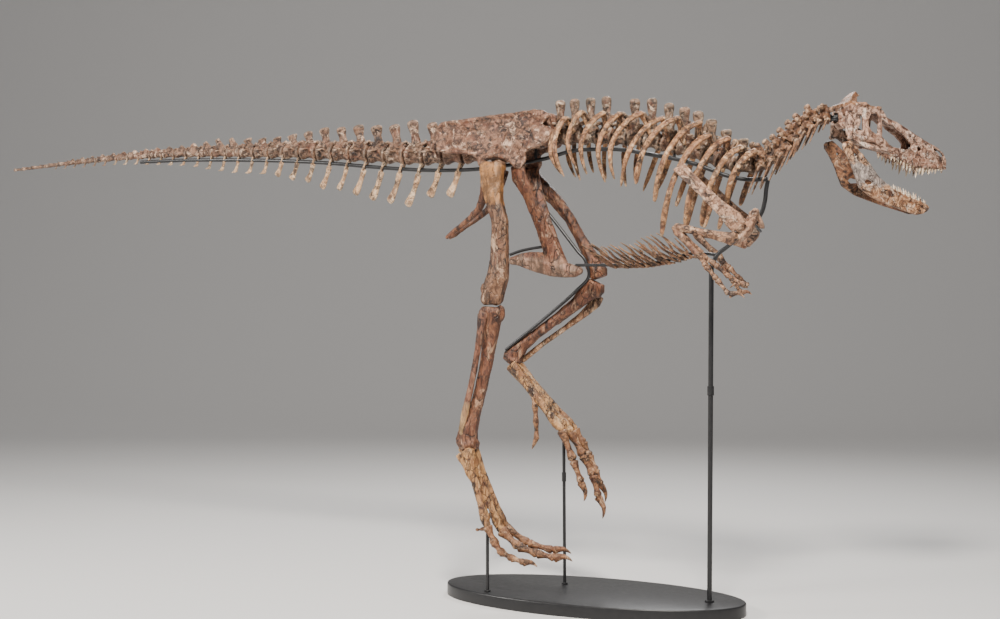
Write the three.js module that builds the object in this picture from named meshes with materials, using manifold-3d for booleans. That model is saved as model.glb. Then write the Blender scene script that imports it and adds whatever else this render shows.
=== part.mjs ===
// Mounted skeleton of a running meat-eating dinosaur on a black oval base.
// Millimetres, +Z up, +X toward the head, Y = 0 is the body's mid-plane.
// The origin is on the base's underside, near its centre.
import * as THREE from 'three';
import Module from 'manifold-3d';

const wasm = await Module();
wasm.setup();
const { Manifold, Mesh } = wasm;

// Driving dimensions
const GAP = 0.45;                 // clearance left between touching pieces
const BASE_LENGTH = 1724;
const BASE_WIDTH = 790;
const BASE_HEIGHT = 66;
const BASE_CENTRE = [-25, 60];
const ROD_RADIUS = 9;
const FRONT_ROD_RADIUS = 13;
const TUBE_RADIUS = 11;
const TAIL_COUNT = 35;            // tail vertebrae
const TAIL_FIRST_LENGTH = 124;    // length of the vertebra behind the hips
const TAIL_LAST_LENGTH = 86;      // length of the last vertebra
const NECK_COUNT = 9;
const HEAD_YAW = 40;              // degrees the head turns to the animal's left
const HEAD_ORIGIN = [1290, 140];  // back of the skull on its mid-plane
const UPPER_TEETH = 9;            // per side
const LOWER_TEETH = 8;            // per side
const GASTRALIA_ROWS = 10;
const HEAD_ROLL = 7;              // degrees the head tips down on the animal's right

// Repeatable variation
function seeded(seed) {
  let s = seed;
  return () => {
    s = (s * 1664525 + 1013904223) % 4294967296;
    return s / 4294967296;
  };
}

function lerp(a, b, t) {
  return a + (b - a) * t;
}

// Reads y at x from a list of [x, y] pairs sorted by x.
function table(pairs, x) {
  if (x <= pairs[0][0]) return pairs[0][1];
  for (let i = 1; i < pairs.length; i++) {
    if (x <= pairs[i][0]) {
      const t = (x - pairs[i - 1][0]) / (pairs[i][0] - pairs[i - 1][0]);
      return lerp(pairs[i - 1][1], pairs[i][1], t);
    }
  }
  return pairs[pairs.length - 1][1];
}

function solidFrom(positions, triangles) {
  const mesh = new Mesh({
    numProp: 3,
    vertProperties: new Float32Array(positions),
    triVerts: new Uint32Array(triangles),
  });
  return new Manifold(mesh);
}

// A closed tube through stations [x, y, z, halfA, halfB]. halfA lies along the
// hint direction, halfB across it. grow swells the whole tube.
function bone(stations, grow = 0, sides = 6, hint = [1, 0, 0]) {
  const h = new THREE.Vector3(...hint);
  const c = stations.map((s) => new THREE.Vector3(s[0], s[1], s[2]));
  const last = c.length - 1;
  const swell = 1 / Math.cos(Math.PI / sides);
  const positions = [];
  for (let i = 0; i <= last; i++) {
    const tangent = c[Math.min(i + 1, last)].clone().sub(c[Math.max(i - 1, 0)]).normalize();
    const a = h.clone().addScaledVector(tangent, -h.dot(tangent)).normalize();
    const b = tangent.clone().cross(a);
    const p = c[i].clone();
    if (i === 0) p.addScaledVector(tangent, -grow);
    if (i === last) p.addScaledVector(tangent, grow);
    for (let k = 0; k < sides; k++) {
      const angle = (2 * Math.PI * (k + 0.5)) / sides;
      const q = p.clone();
      q.addScaledVector(a, (stations[i][3] + grow) * swell * Math.cos(angle));
      q.addScaledVector(b, (stations[i][4] + grow) * swell * Math.sin(angle));
      positions.push(q.x, q.y, q.z);
    }
  }
  const triangles = [];
  for (let i = 0; i < last; i++) {
    for (let k = 0; k < sides; k++) {
      const n = (k + 1) % sides;
      const lo = i * sides;
      const hi = lo + sides;
      triangles.push(lo + k, lo + n, hi + n, lo + k, hi + n, hi + k);
    }
  }
  for (let k = 1; k < sides - 1; k++) {
    triangles.push(0, k + 1, k);
    triangles.push(last * sides, last * sides + k, last * sides + k + 1);
  }
  return solidFrom(positions, triangles);
}

// Shares the corners that meet, so that the surface closes.
function solidOf(geometry) {
  const seen = new Map();
  const positions = [];
  const triangles = [];
  const flat = geometry.index ? geometry.toNonIndexed() : geometry;
  const p = flat.attributes.position;
  for (let i = 0; i < p.count; i++) {
    const xyz = [p.getX(i), p.getY(i), p.getZ(i)];
    const key = xyz.map((n) => Math.round(n * 1000)).join(',');
    if (!seen.has(key)) {
      seen.set(key, positions.length / 3);
      positions.push(...xyz);
    }
    triangles.push(seen.get(key));
  }
  return solidFrom(positions, triangles);
}

// A flat plate from a closed outline of [x, y] points, centred on its thickness.
function plate(outline, holes, thickness, grow = 0) {
  const shape = new THREE.Shape(outline.map((p) => new THREE.Vector2(...p)));
  for (const hole of holes) {
    shape.holes.push(new THREE.Path(hole.map((p) => new THREE.Vector2(...p))));
  }
  const geometry = new THREE.ExtrudeGeometry(shape, {
    depth: thickness,
    steps: 1,
    bevelEnabled: grow > 0,
    bevelThickness: grow,
    bevelSize: grow,
    bevelSegments: 1,
  });
  geometry.translate(0, 0, -thickness / 2);
  return solidOf(geometry);
}

// A round steel tube swept along points.
function tube(points, radius, steps, grow = 0) {
  const curve = new THREE.CatmullRomCurve3(points.map((p) => new THREE.Vector3(...p)));
  const shape = new THREE.Shape();
  const sides = 6;
  for (let k = 0; k < sides; k++) {
    const angle = (2 * Math.PI * k) / sides;
    const x = (radius + grow) * Math.cos(angle);
    const y = (radius + grow) * Math.sin(angle);
    if (k === 0) shape.moveTo(x, y);
    else shape.lineTo(x, y);
  }
  shape.closePath();
  return solidOf(new THREE.ExtrudeGeometry(shape, { steps, extrudePath: curve, bevelEnabled: false }));
}

function join(parts) {
  return Manifold.union(parts);
}

// Keeps only the largest closed body.
function largest(solid) {
  const bodies = solid.decompose();
  return bodies.reduce((best, b) => (b.volume() > best.volume() ? b : best), bodies[0]);
}

function along(points) {
  return new THREE.CatmullRomCurve3(points.map((p) => new THREE.Vector3(...p)));
}

const mirrored = (stations, side) => stations.map((s) => [s[0], s[1] * side, ...s.slice(2)]);

// Stand

const REAR_ROD = [-531, -200];
const MIDDLE_ROD = [-230, 176];
const FRONT_ROD = [649, 45];

function base() {
  const shape = new THREE.Shape();
  shape.absellipse(...BASE_CENTRE, BASE_LENGTH / 2, BASE_WIDTH / 2, 0, 2 * Math.PI);
  return solidOf(new THREE.ExtrudeGeometry(shape, {
    depth: BASE_HEIGHT, steps: 1, curveSegments: 26, bevelEnabled: false,
  }));
}

function rod(foot, top, radius, grow) {
  const z0 = BASE_HEIGHT + GAP;
  return bone([[...foot, z0, radius, radius], [...top, radius, radius]], grow, 8);
}

const SPINE_TUBE = [
  [-3166, 132, 2558], [-2808, 90, 2550], [-2492, 56, 2535], [-2098, 21, 2511], [-1852, 6, 2492],
  [-1619, 0, 2470], [-1394, 0, 2443], [-1174, 0, 2420], [-952, 0, 2403], [-673, 0, 2400],
  [-275, 0, 2440], [-114, 0, 2475], [44, 0, 2477], [193, 0, 2466], [323, 0, 2438],
  [452, 0, 2411], [578, 0, 2376], [665, 0, 2342], [767, 0, 2302], [869, 0, 2281], [968, 3, 2280],
];

function spineTube(grow) {
  const parts = [tube(SPINE_TUBE, TUBE_RADIUS, 20, grow)];
  const hangers = [[-560, 2406, 2462], [-330, 2430, 2515], [30, 2470, 2522], [470, 2400, 2450]];
  for (const [x, low, high] of hangers) {
    parts.push(bone([[x, 0, low, 8, 8], [x, 0, high, 8, 8]], grow, 4));
  }
  return join(parts);
}

function frontTube(grow) {
  const path = [[971, 6, 2272], [962, 8, 2225], [955, 10, 2168], [934, 10, 2101], [860, 12, 2018],
    [762, 16, 1942], [696, 24, 1892], [664, 32, 1832]];
  const parts = [tube(path, TUBE_RADIUS, 11, grow)];
  for (const side of [-1, 1]) {
    parts.push(bone([[893, 10, 2056, 7, 7], [893, side * 158, 2020, 7, 7]], grow, 4));
  }
  return join(parts);
}

function legTube(grow) {
  const path = [[-440, 105, 2330], [-355, 120, 2207], [-235, 123, 2060], [-125, 122, 1925],
    [-88, 122, 1885], [-66, 128, 1793], [-143, 132, 1712], [-318, 136, 1572], [-578, 140, 1378]];
  return tube(path, ROD_RADIUS, 12, grow);
}

function bellyRod(grow) {
  const path = [[-92, 0, 1850], [80, 0, 1848], [280, 0, 1850], [440, 2, 1872], [560, 8, 1904],
    [690, 24, 1896]];
  return tube(path, 8, 8, grow);
}

// Backbone

const TAIL_LINE = along([
  [-640, 0, 2487], [-1024, 0, 2489], [-1495, 0, 2525], [-1852, 6, 2551], [-2300, 38, 2572],
  [-2656, 73, 2588], [-3166, 132, 2598], [-3696, 202, 2590], [-4401, 302, 2570],
]);
const TAIL_RADIUS = [
  [-4401, 8], [-3696, 14], [-3166, 20], [-2419, 30], [-1852, 43], [-1394, 50], [-640, 55],
];
const TAIL_SPINE = [
  [-4300, 14], [-3700, 25], [-3200, 36], [-2765, 47], [-2648, 62], [-2419, 92], [-2308, 90],
  [-2083, 84], [-1871, 112], [-1780, 130], [-1612, 152], [-1407, 166], [-1287, 160], [-1144, 180],
  [-1079, 205], [-1000, 190], [-640, 185],
];
const CHEVRON_DROP = [
  [-4300, 17], [-3700, 34], [-3100, 54], [-2700, 78], [-2471, 105], [-2276, 128], [-2023, 136],
  [-1838, 163], [-1605, 209], [-1394, 236], [-1270, 250], [-1167, 278], [-1056, 290], [-888, 225],
];

// The vertebrae from number first to last - 1, with their chevrons.
function tail(first, last, grow) {
  const span = TAIL_LINE.getLength();
  const random = seeded(11 + first);
  const lengths = [];
  for (let i = 0; i < TAIL_COUNT; i++) {
    lengths.push(lerp(TAIL_FIRST_LENGTH, TAIL_LAST_LENGTH, i / (TAIL_COUNT - 1)));
  }
  const total = lengths.reduce((a, b) => a + b, 0);
  const start = lengths.slice(0, first).reduce((a, b) => a + b, 0);
  let s = start / total;
  const column = [];
  const parts = [];
  for (let i = first; i < last; i++) {
    const length = (lengths[i] / total) * span;
    const at = (f) => TAIL_LINE.getPointAt(Math.min(1, Math.max(0, s + (f * length) / span)));
    const mid = at(0.5);
    const r = table(TAIL_RADIUS, mid.x);
    for (const [f, k] of i < 22 ? [[0.03, 1], [0.55, 0.74]] : [[0.03, 0.92]]) {
      const p = at(f);
      column.push([p.x, p.y, p.z, r * k, r * k * 0.9]);
    }
    const top = table(TAIL_SPINE, mid.x) * lerp(0.95, 1.05, random());
    const lean = i < 14 ? -0.12 * top : -0.35 * top;
    const half = length * 0.29;
    const spine = [
      [mid.x, mid.y, mid.z, half * 1.2, r * 0.5],
      [mid.x + lean * 0.5, mid.y, mid.z + Math.max(r * 1.15, top * 0.55), half, r * 0.26],
      [mid.x + lean, mid.y, mid.z + top, half * lerp(0.95, 1.15, random()), r * 0.3],
    ];
    if (i > 5) spine.splice(1, 1);
    if (i < 24) parts.push(bone(spine, grow, 4));
    if (i < 5) {
      const reach = lerp(100, 70, i / 4);
      parts.push(bone([
        [mid.x - 8, mid.y - reach, mid.z + r * 0.2, 15, 5],
        [mid.x, mid.y, mid.z + r * 0.55, 20, 8],
        [mid.x - 8, mid.y + reach, mid.z + r * 0.2, 15, 5],
      ], grow, 4));
    }
    if (i > 0 && i < 22) {
      const root = at(0.2);
      const drop = table(CHEVRON_DROP, root.x) * lerp(0.94, 1.04, random());
      const back = i < 18 ? 0.36 * drop : 0.5 * drop;
      const long = lerp(19, 14, i / 22);
      const deep = Math.min(0.55 * drop, r + 34);
      const chevron = [
        [root.x, root.y, root.z - r * 0.55, 12, 18],
        [root.x - back * 0.45, root.y, root.z - deep, 14, 13],
        [root.x - back, root.y, root.z - drop, long, 9],
      ];
      if (i > 9) chevron.splice(1, 1);
      parts.push(bone(chevron, grow, 4));
    }
    s += length / span;
  }
  const end = TAIL_LINE.getPointAt(Math.min(1, s));
  const tipRadius = column[column.length - 1][3] * 0.85;
  column.push([end.x, end.y, end.z, tipRadius, tipRadius]);
  parts.unshift(bone(column, grow, 5, [0, 0, 1]));
  return join(parts);
}

function sacrum(grow) {
  const parts = [];
  const column = [];
  for (let i = 0; i < 5; i++) {
    const x = -634 + i * 81;
    const z = 2500 + i * 10;
    column.push([x, 0, z, 48, 42], [x + 40, 0, z + 4, 38, 32]);
    parts.push(bone([[x + 40, 0, z + 10, 34, 16], [x + 30, 0, 2672 + i * 3, 35, 12]], grow, 4));
    if (i !== 1 && i !== 3) {
      parts.push(bone([[x + 30, -92, z + 20, 28, 16], [x + 30, 92, z + 20, 28, 16]], grow, 4));
    }
  }
  column.push([-228, 0, 2547, 46, 40]);
  parts.unshift(bone(column, grow, 6, [0, 0, 1]));
  return join(parts);
}

const DORSAL_LINE = [
  [-226, 2550], [-97, 2556], [3, 2551], [107, 2540], [239, 2528], [346, 2507], [452, 2480],
  [540, 2455], [611, 2431], [676, 2404], [762, 2371], [853, 2352], [905, 2350],
];
// Each trunk vertebra: x, top of its spine.
const DORSALS = [
  [-178, 2756], [-93, 2760], [0, 2760], [92, 2762], [170, 2672], [254, 2739], [351, 2736], [446, 2703],
  [532, 2677], [606, 2652], [678, 2606], [758, 2549], [850, 2496],
];
// Each rib: x and z of its shoulder, x and z of its tip, how far it bows out.
const RIBS = [
  [-170, 2590, -134, 2340, 125], [-122, 2645, -112, 2323, 142], [-25, 2672, -36, 2362, 152],
  [99, 2659, 30, 2328, 175], [193, 2650, 142, 2279, 195], [315, 2646, 195, 2294, 205],
  [434, 2613, 234, 2253, 212], [516, 2609, 317, 2262, 216], [633, 2580, 421, 2167, 220],
  [686, 2513, 457, 1986, 212], [787, 2490, 582, 2047, 203], [856, 2440, 666, 2033, 188],
  [930, 2418, 792, 2155, 152],
];
const RIB_ROOT_SPREAD = 84;

// One rib, from the vertebra whose spine is nearest its shoulder.
function rib([rootX, rootZ, tipX, tipZ, bow], i, side, grow) {
  const nearest = DORSALS.reduce((a, b) => (Math.abs(b[0] - rootX) < Math.abs(a[0] - rootX) ? b : a))[0];
  const back = i < 6 ? 44 : 10;
  const at = (t, reach, wide, thick) => [
    lerp(rootX, tipX, t ** 0.6) - back * Math.sin(Math.PI * t), side * reach, lerp(rootZ, tipZ, t),
    wide, thick,
  ];
  const size = lerp(0.9, 1.1, Math.min(1, i / 8));
  return bone([
    [nearest, -side * 6, rootZ - 22, 16, 12],
    [rootX, side * RIB_ROOT_SPREAD, rootZ, 19 * size, 11],
    at(0.17, lerp(RIB_ROOT_SPREAD, bow, 0.62), 17 * size, 9),
    at(0.56, bow, 15 * size, 9),
    at(1, bow * 0.82, 12 * size, 7),
  ], grow, 4);
}

// Half of the trunk backbone with the ribs of that side.
function ribcage(side, grow) {
  const random = seeded(side > 0 ? 71 : 37);
  const column = [[-226, 0, 2550, 42, 38]];
  const parts = [];
  DORSALS.forEach(([x, top], i) => {
    const z = table(DORSAL_LINE, x);
    const r = lerp(46, 38, i / 12);
    const half = i === 9 ? 30 : 38;
    column.push([x, 0, z, r * 0.78, r * 0.72]);
    column.push([x + half, 0, table(DORSAL_LINE, x + half), r, r * 0.92]);
    parts.push(bone([
      [x, 0, z + 10, 25, 24],
      [x - 6, 0, top, 27 * lerp(0.9, 1.08, random()), 13],
    ], grow, 4));
  });
  column.push([905, 0, 2350, 34, 32]);
  parts.unshift(bone(column, grow, 5, [0, 0, 1]));
  RIBS.forEach((line, i) => parts.push(rib(line, i, side, grow)));
  return join(parts).trimByPlane([0, side, 0], GAP / 2 - grow);
}

const NECK_LINE = along([
  [907, 1, 2350], [940, 4, 2357], [995, 15, 2390], [1050, 31, 2436], [1090, 50, 2484],
  [1137, 68, 2531], [1183, 90, 2574], [1225, 108, 2591], [1264, 125, 2590],
]);

function neck(first, last, grow) {
  const span = NECK_LINE.getLength();
  const step = span / NECK_COUNT;
  const parts = [];
  const column = [];
  for (let i = first; i < last; i++) {
    const s = i / NECK_COUNT;
    for (const [f, k] of [[0.04, 1], [0.5, 0.76]]) {
      const p = NECK_LINE.getPointAt(s + f / NECK_COUNT);
      const r = lerp(37, 30, i / NECK_COUNT);
      column.push([p.x, p.y, p.z, r * k, r * k * 1.05]);
    }
    const mid = NECK_LINE.getPointAt(s + 0.5 / NECK_COUNT);
    const t = NECK_LINE.getTangentAt(s + 0.5 / NECK_COUNT);
    const flat = new THREE.Vector3(t.x, t.y, 0).normalize();
    const right = new THREE.Vector3(flat.y, -flat.x, 0);
    const up = right.clone().cross(t).normalize();
    const tall = [128, 112, 104, 98, 96, 94, 92, 92, 70][i];
    const b = mid.clone().addScaledVector(up, tall).addScaledVector(t, -0.12 * tall);
    parts.push(bone([
      [mid.x, mid.y, mid.z, step * 0.34, 22],
      [b.x, b.y, b.z, step * 0.3, 12],
    ], grow, 4, t.toArray()));
    const long = i === 8 ? 60 : lerp(150, 120, i / 8);
    const rib = (side) => {
      const bend = mid.clone().addScaledVector(right, side * 56).addScaledVector(up, -10);
      const tip = bend.clone().add(new THREE.Vector3(-0.36 * long, -0.12 * long, -0.92 * long));
      return [[tip.x, tip.y, tip.z, 4, 3], [bend.x, bend.y, bend.z, 9, 8]];
    };
    parts.push(bone([...rib(-1), ...rib(1).reverse()], grow, 3));
  }
  const end = NECK_LINE.getPointAt(Math.min(1, last / NECK_COUNT - 0.002));
  column.push([end.x, end.y, end.z, lerp(37, 30, last / NECK_COUNT), 30]);
  parts.unshift(bone(column, grow, 6, [0, 0, 1]));
  return join(parts);
}

// Hips

const ILIUM_OUTLINE = [
  [-923, 2601], [-879, 2660], [-763, 2671], [-611, 2684], [-314, 2702], [-250, 2696], [-214, 2660],
  [-236, 2633], [-268, 2618], [-209, 2606], [-196, 2576], [-200, 2539], [-232, 2507], [-314, 2486],
  [-346, 2468], [-341, 2420], [-369, 2376], [-404, 2382], [-432, 2410], [-480, 2435], [-536, 2444],
  [-586, 2428], [-622, 2402], [-644, 2451], [-677, 2469], [-850, 2486], [-893, 2505], [-908, 2558],
];

function ilium(side, grow) {
  const solid = plate(ILIUM_OUTLINE.slice().reverse(), [], 26, grow);
  return solid.warp((v) => {
    const z = v[1];
    const lean = lerp(112, 66, Math.min(1, Math.max(0, (z - 2400) / 290)));
    v[1] = side * lean - v[2];
    v[2] = z;
  });
}

function pubis(grow) {
  const parts = [];
  for (const side of [-1, 1]) {
    parts.push(bone(mirrored([
      [-398, 98, 2400, 40, 20], [-388, 92, 2330, 44, 20], [-345, 72, 2240, 32, 17],
      [-286, 40, 2085, 36, 18], [-226, 16, 1925, 46, 22], [-196, 12, 1850, 52, 24],
    ], side), grow));
  }
  parts.push(bone([
    [-490, 0, 1878, 18, 12], [-430, 0, 1884, 34, 20], [-365, 0, 1878, 50, 26], [-290, 0, 1866, 60, 31],
    [-220, 0, 1838, 52, 34], [-150, 0, 1824, 42, 30], [-92, 0, 1816, 32, 25], [-58, 0, 1820, 15, 14],
  ], grow, 6, [0, 0, 1]));
  return join(parts);
}

function ischium(side, grow) {
  return bone(mirrored([
    [-572, 100, 2400, 34, 18], [-588, 90, 2340, 34, 18], [-610, 72, 2244, 28, 15],
    [-654, 54, 2168, 20, 13], [-716, 40, 2120, 16, 12], [-782, 30, 2077, 14, 12], [-842, 22, 2037, 16, 11],
    [-880, 18, 2014, 10, 8],
  ], side), grow);
}

// Legs. Right is the side toward -Y.

function femur(side, grow) {
  const right = side < 0;
  const shaft = right
    ? [[-516, -172, 2416, 40, 30], [-517, -174, 2392, 68, 42], [-515, -176, 2300, 62, 38],
      [-500, -176, 2200, 47, 38], [-466, -174, 2086, 43, 36], [-468, -172, 1960, 46, 38],
      [-472, -172, 1870, 50, 42], [-480, -172, 1790, 56, 50], [-508, -172, 1710, 60, 56],
      [-515, -172, 1660, 56, 54], [-515, -172, 1634, 40, 40]]
    : [[-466, 172, 2396, 34, 30], [-444, 174, 2366, 52, 40], [-372, 174, 2304, 46, 36],
      [-284, 174, 2222, 36, 32], [-200, 174, 2120, 30, 28], [-142, 174, 2020, 29, 28],
      [-92, 174, 1936, 34, 34], [-54, 172, 1862, 46, 46], [-28, 170, 1814, 50, 54],
      [-18, 170, 1784, 40, 42]];
  const head = right
    ? [[-500, -178, 2384, 36, 34], [-498, -118, 2394, 40, 36], [-498, -88, 2394, 26, 24]]
    : [[-446, 178, 2368, 36, 34], [-466, 118, 2390, 40, 36], [-470, 88, 2390, 26, 24]];
  return join([bone(shaft, grow), bone(head, grow)]);
}

function tibia(side, grow) {
  if (side < 0) {
    return join([
      bone([
        [-518, -168, 1622, 52, 46], [-520, -168, 1598, 64, 52], [-522, -168, 1545, 50, 44],
        [-530, -168, 1450, 40, 34], [-552, -170, 1310, 34, 30], [-584, -172, 1170, 32, 28],
        [-622, -175, 1040, 34, 30], [-654, -177, 955, 48, 40], [-668, -178, 880, 60, 42],
      ], grow),
      bone([
        [-700, -178, 872, 34, 46], [-660, -178, 862, 40, 48], [-606, -178, 872, 30, 42],
      ], grow, 6, [0, 0, 1]),
    ]);
  }
  return join([
    bone([
      [-36, 172, 1762, 44, 42], [-46, 172, 1740, 62, 50], [-92, 172, 1700, 48, 43],
      [-160, 172, 1640, 34, 31], [-280, 172, 1554, 28, 26], [-400, 172, 1470, 28, 26],
      [-486, 174, 1408, 36, 33], [-530, 176, 1366, 48, 41], [-548, 176, 1346, 46, 40],
    ], grow),
    bone([
      [-590, 176, 1352, 28, 40], [-552, 176, 1330, 36, 44], [-506, 176, 1308, 26, 38],
    ], grow, 6, [0, 0, 1]),
  ]);
}

function fibula(side, grow) {
  return bone(side < 0
    ? [[-538, -224, 1598, 22, 13], [-549, -224, 1574, 30, 15], [-562, -222, 1496, 21, 13],
      [-579, -220, 1400, 17, 12], [-606, -216, 1265, 17, 12], [-640, -213, 1129, 18, 12],
      [-666, -212, 1025, 20, 12], [-682, -212, 950, 17, 12], [-686, -212, 918, 11, 8]]
    : [[-34, 222, 1684, 24, 13], [-60, 224, 1648, 31, 15], [-140, 222, 1578, 21, 13],
      [-250, 220, 1500, 15, 12], [-380, 216, 1414, 15, 11], [-462, 212, 1350, 17, 11],
      [-506, 210, 1316, 14, 9]], grow);
}

// Three long foot bones side by side, with a splint on the outer side.
function metatarsus(side, grow) {
  const top = side < 0 ? [-652, -176, 834] : [-545, 176, 1296];
  const ends = side < 0
    ? [[-464, -132, 424], [-470, -176, 416], [-528, -222, 440]]
    : [[-240, 130, 946], [-206, 176, 934], [-200, 222, 944]];
  const parts = [];
  ends.forEach((end, i) => {
    const y = top[1] + side * (i - 1) * 30;
    const at = (t) => [lerp(top[0], end[0], t), lerp(y, end[1], t), lerp(top[2], end[2], t)];
    parts.push(bone([
      [...at(0), 36, 26], [...at(0.3), 23, 18], [...at(0.75), 20, 17], [...at(0.93), 27, 21], [...at(1), 20, 17],
    ], grow, 5));
  });
  const y = top[1] + side * 58;
  const lean = side < 0 ? [0.25, -0.97] : [0.68, -0.73];
  parts.push(bone([
    [top[0] - 36, y - side * 8, top[2] - 14, 12, 9],
    [top[0] - 20 + lean[0] * 130, y - side * 12, top[2] - 8 + lean[1] * 130, 9, 7],
    [top[0] - 10 + lean[0] * 165, y - side * 28, top[2] - 8 + lean[1] * 165, 9, 8],
  ], grow, 4));
  return join(parts);
}

// One toe or finger: knuckles at the points, a claw at the end.
function digit(points, thick, thin, grow, sides = 5) {
  const stations = [];
  const count = points.length - 1;
  for (let i = 0; i < count; i++) {
    const r = lerp(thick, thin, i / count);
    const [p, q] = [points[i], points[i + 1]];
    const at = (t) => p.map((n, k) => lerp(n, q[k], t));
    if (i < count - 1) {
      stations.push([...at(0.04), r, r], [...at(0.55), r * 0.68, r * 0.64]);
    } else {
      stations.push([...at(0.06), r * 0.85, r], [...at(0.5), r * 0.6, r * 0.72]);
      stations.push([...at(1), r * 0.14, r * 0.16]);
    }
  }
  return bone(stations, grow, sides, [0, 1, 0]);
}

const TOES = {
  right: {
    2: [[-454, -130, 414], [-323, -121, 333], [-180, -117, 306], [-69, -115, 290]],
    3: [[-460, -176, 402], [-356, -176, 321], [-245, -176, 290], [-145, -176, 277], [-39, -176, 262]],
    4: [[-520, -226, 426], [-474, -231, 342], [-432, -234, 294], [-370, -237, 267], [-300, -238, 251],
      [-217, -238, 229]],
  },
  left: {
    2: [[-228, 128, 934], [-157, 122, 770], [-108, 120, 652], [-93, 120, 545]],
    3: [[-194, 176, 920], [-120, 176, 796], [-62, 176, 688], [-28, 176, 572], [-5, 176, 446]],
    4: [[-188, 226, 930], [-142, 230, 862], [-104, 232, 790], [-66, 234, 710], [-36, 234, 632],
      [-12, 234, 530]],
  },
};

function hallux(side, grow) {
  return side < 0
    ? digit([[-516, -132, 520], [-574, -118, 450], [-574, -114, 398], [-634, -114, 384]], 15, 13, grow)
    : digit([
      [-402, 140, 1120], [-391, 130, 1066], [-384, 127, 981], [-378, 126, 888], [-410, 126, 820],
    ], 18, 14, grow);
}

// Shoulders and arms

// The left shoulder and arm sit further back than the right ones.
const LEFT_BACK = { shoulder: 60, elbow: 45, wrist: 31 };

// Mirrors an arm piece to its side, and sets the left one back, by more at one end.
function armed(stations, side, from, to) {
  const last = stations.length - 1;
  const back = (i) => (side > 0 ? lerp(from, to, i / last) : 0);
  return mirrored(stations, side).map((s, i) => [s[0] - back(i), ...s.slice(1)]);
}

function scapula(side, grow) {
  const { shoulder } = LEFT_BACK;
  return join([
    bone(armed([
      [560, 214, 2346, 34, 7], [614, 238, 2296, 31, 8], [716, 258, 2200, 30, 9], [804, 256, 2116, 34, 11],
      [862, 246, 2058, 47, 15], [890, 236, 2022, 43, 16],
    ], side, shoulder, shoulder), grow, 4),
    bone(armed([
      [932, 74, 2118, 16, 14], [920, 124, 2064, 26, 24], [904, 190, 2010, 34, 34], [862, 210, 1950, 20, 18],
    ], side, shoulder, shoulder), grow, 5),
  ]);
}

function furcula(grow) {
  return bone([
    [928, -66, 2104, 12, 9], [946, -36, 2056, 10, 9], [944, 0, 2034, 12, 10], [914, 40, 2056, 10, 9],
    [868, 66, 2104, 12, 9],
  ], grow, 4);
}

function humerus(side, grow) {
  return bone(armed([
    [872, 232, 1986, 22, 20], [844, 234, 1964, 33, 22], [770, 236, 1982, 23, 17], [690, 236, 2002, 18, 15],
    [600, 234, 2020, 21, 18], [562, 232, 2026, 26, 20], [548, 232, 2028, 15, 14],
  ], side, LEFT_BACK.shoulder, LEFT_BACK.elbow), grow, 6, [0, 0, 1]);
}

function forearm(side, grow) {
  const { elbow, wrist } = LEFT_BACK;
  const ulna = armed([
    [544, 238, 2034, 13, 13], [566, 240, 2004, 21, 16], [620, 244, 1944, 14, 12], [676, 242, 1886, 18, 15],
  ], side, elbow, wrist);
  const radius = armed([
    [578, 222, 2004, 16, 12], [630, 222, 1950, 11, 10], [690, 224, 1892, 16, 13],
  ], side, elbow, wrist);
  return join([bone(ulna, grow), bone(radius, grow, 6),
    bone([
      [ulna[1][0] + 6, ulna[1][1], ulna[1][2], 12, 10],
      [radius[0][0] + 4, radius[0][1], radius[0][2], 10, 10],
    ],
      grow, 6, [0, 0, 1])]);
}

const FINGERS = {
  right: {
    1: [[676, 236, 1888], [715, 240, 1830], [772, 242, 1762], [836, 242, 1684], [918, 240, 1664]],
    2: [[682, 224, 1890], [756, 219, 1838], [830, 214, 1772], [914, 212, 1732], [830, 212, 1712]],
  },
  left: {
    1: [[646, 238, 1888], [676, 240, 1828], [716, 241, 1768], [764, 240, 1700], [826, 238, 1684]],
    2: [[652, 224, 1890], [706, 226, 1832], [756, 230, 1778], [806, 232, 1738], [730, 230, 1716]],
  },
};

function hand(side, grow) {
  const fingers = side < 0 ? FINGERS.right : FINGERS.left;
  const [a, b] = [mirrored(fingers[1], side), mirrored(fingers[2], side)];
  return join([
    digit(a, 18, 13, grow, 4),
    digit(b, 17, 12, grow, 4),
    bone([[...a[0], 15, 14], [b[0][0] + 8, b[0][1], b[0][2] - 6, 14, 14]], grow, 4, [0, 0, 1]),
  ]);
}

// Each belly rib is a shallow V. Its broad middle locks into the next one's.
function gastralia(grow) {
  const random = seeded(5);
  const parts = [];
  for (let i = 0; i < GASTRALIA_ROWS; i++) {
    const x = 118 + i * 48;
    const z = table([[118, 1836], [300, 1836], [440, 1856], [550, 1884]], x);
    const arm = (side) => {
      const reach = lerp(0.85, 1.1, random());
      return [x - 130 * reach, side * 124 * reach, z + 112 * reach, 6, 5];
    };
    parts.push(bone([arm(-1), [x + 10, 0, z, 19, 7], arm(1)], grow, 3));
  }
  return join(parts);
}

// Head. In head space u runs forward, z is height and w is sideways, to the animal's right.

const YAW = (HEAD_YAW * Math.PI) / 180;
const ROLL = Math.sin((HEAD_ROLL * Math.PI) / 180);
const ROLL_AXIS = 75;              // sideways place that the roll leaves at its height
const WALL_LEAN = 0.42;            // how much narrower the skull is at its roof
const SKULL_WIDTH = [
  [-20, 96], [130, 96], [200, 84], [270, 68], [360, 54], [480, 44], [580, 34], [620, 22],
];
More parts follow.
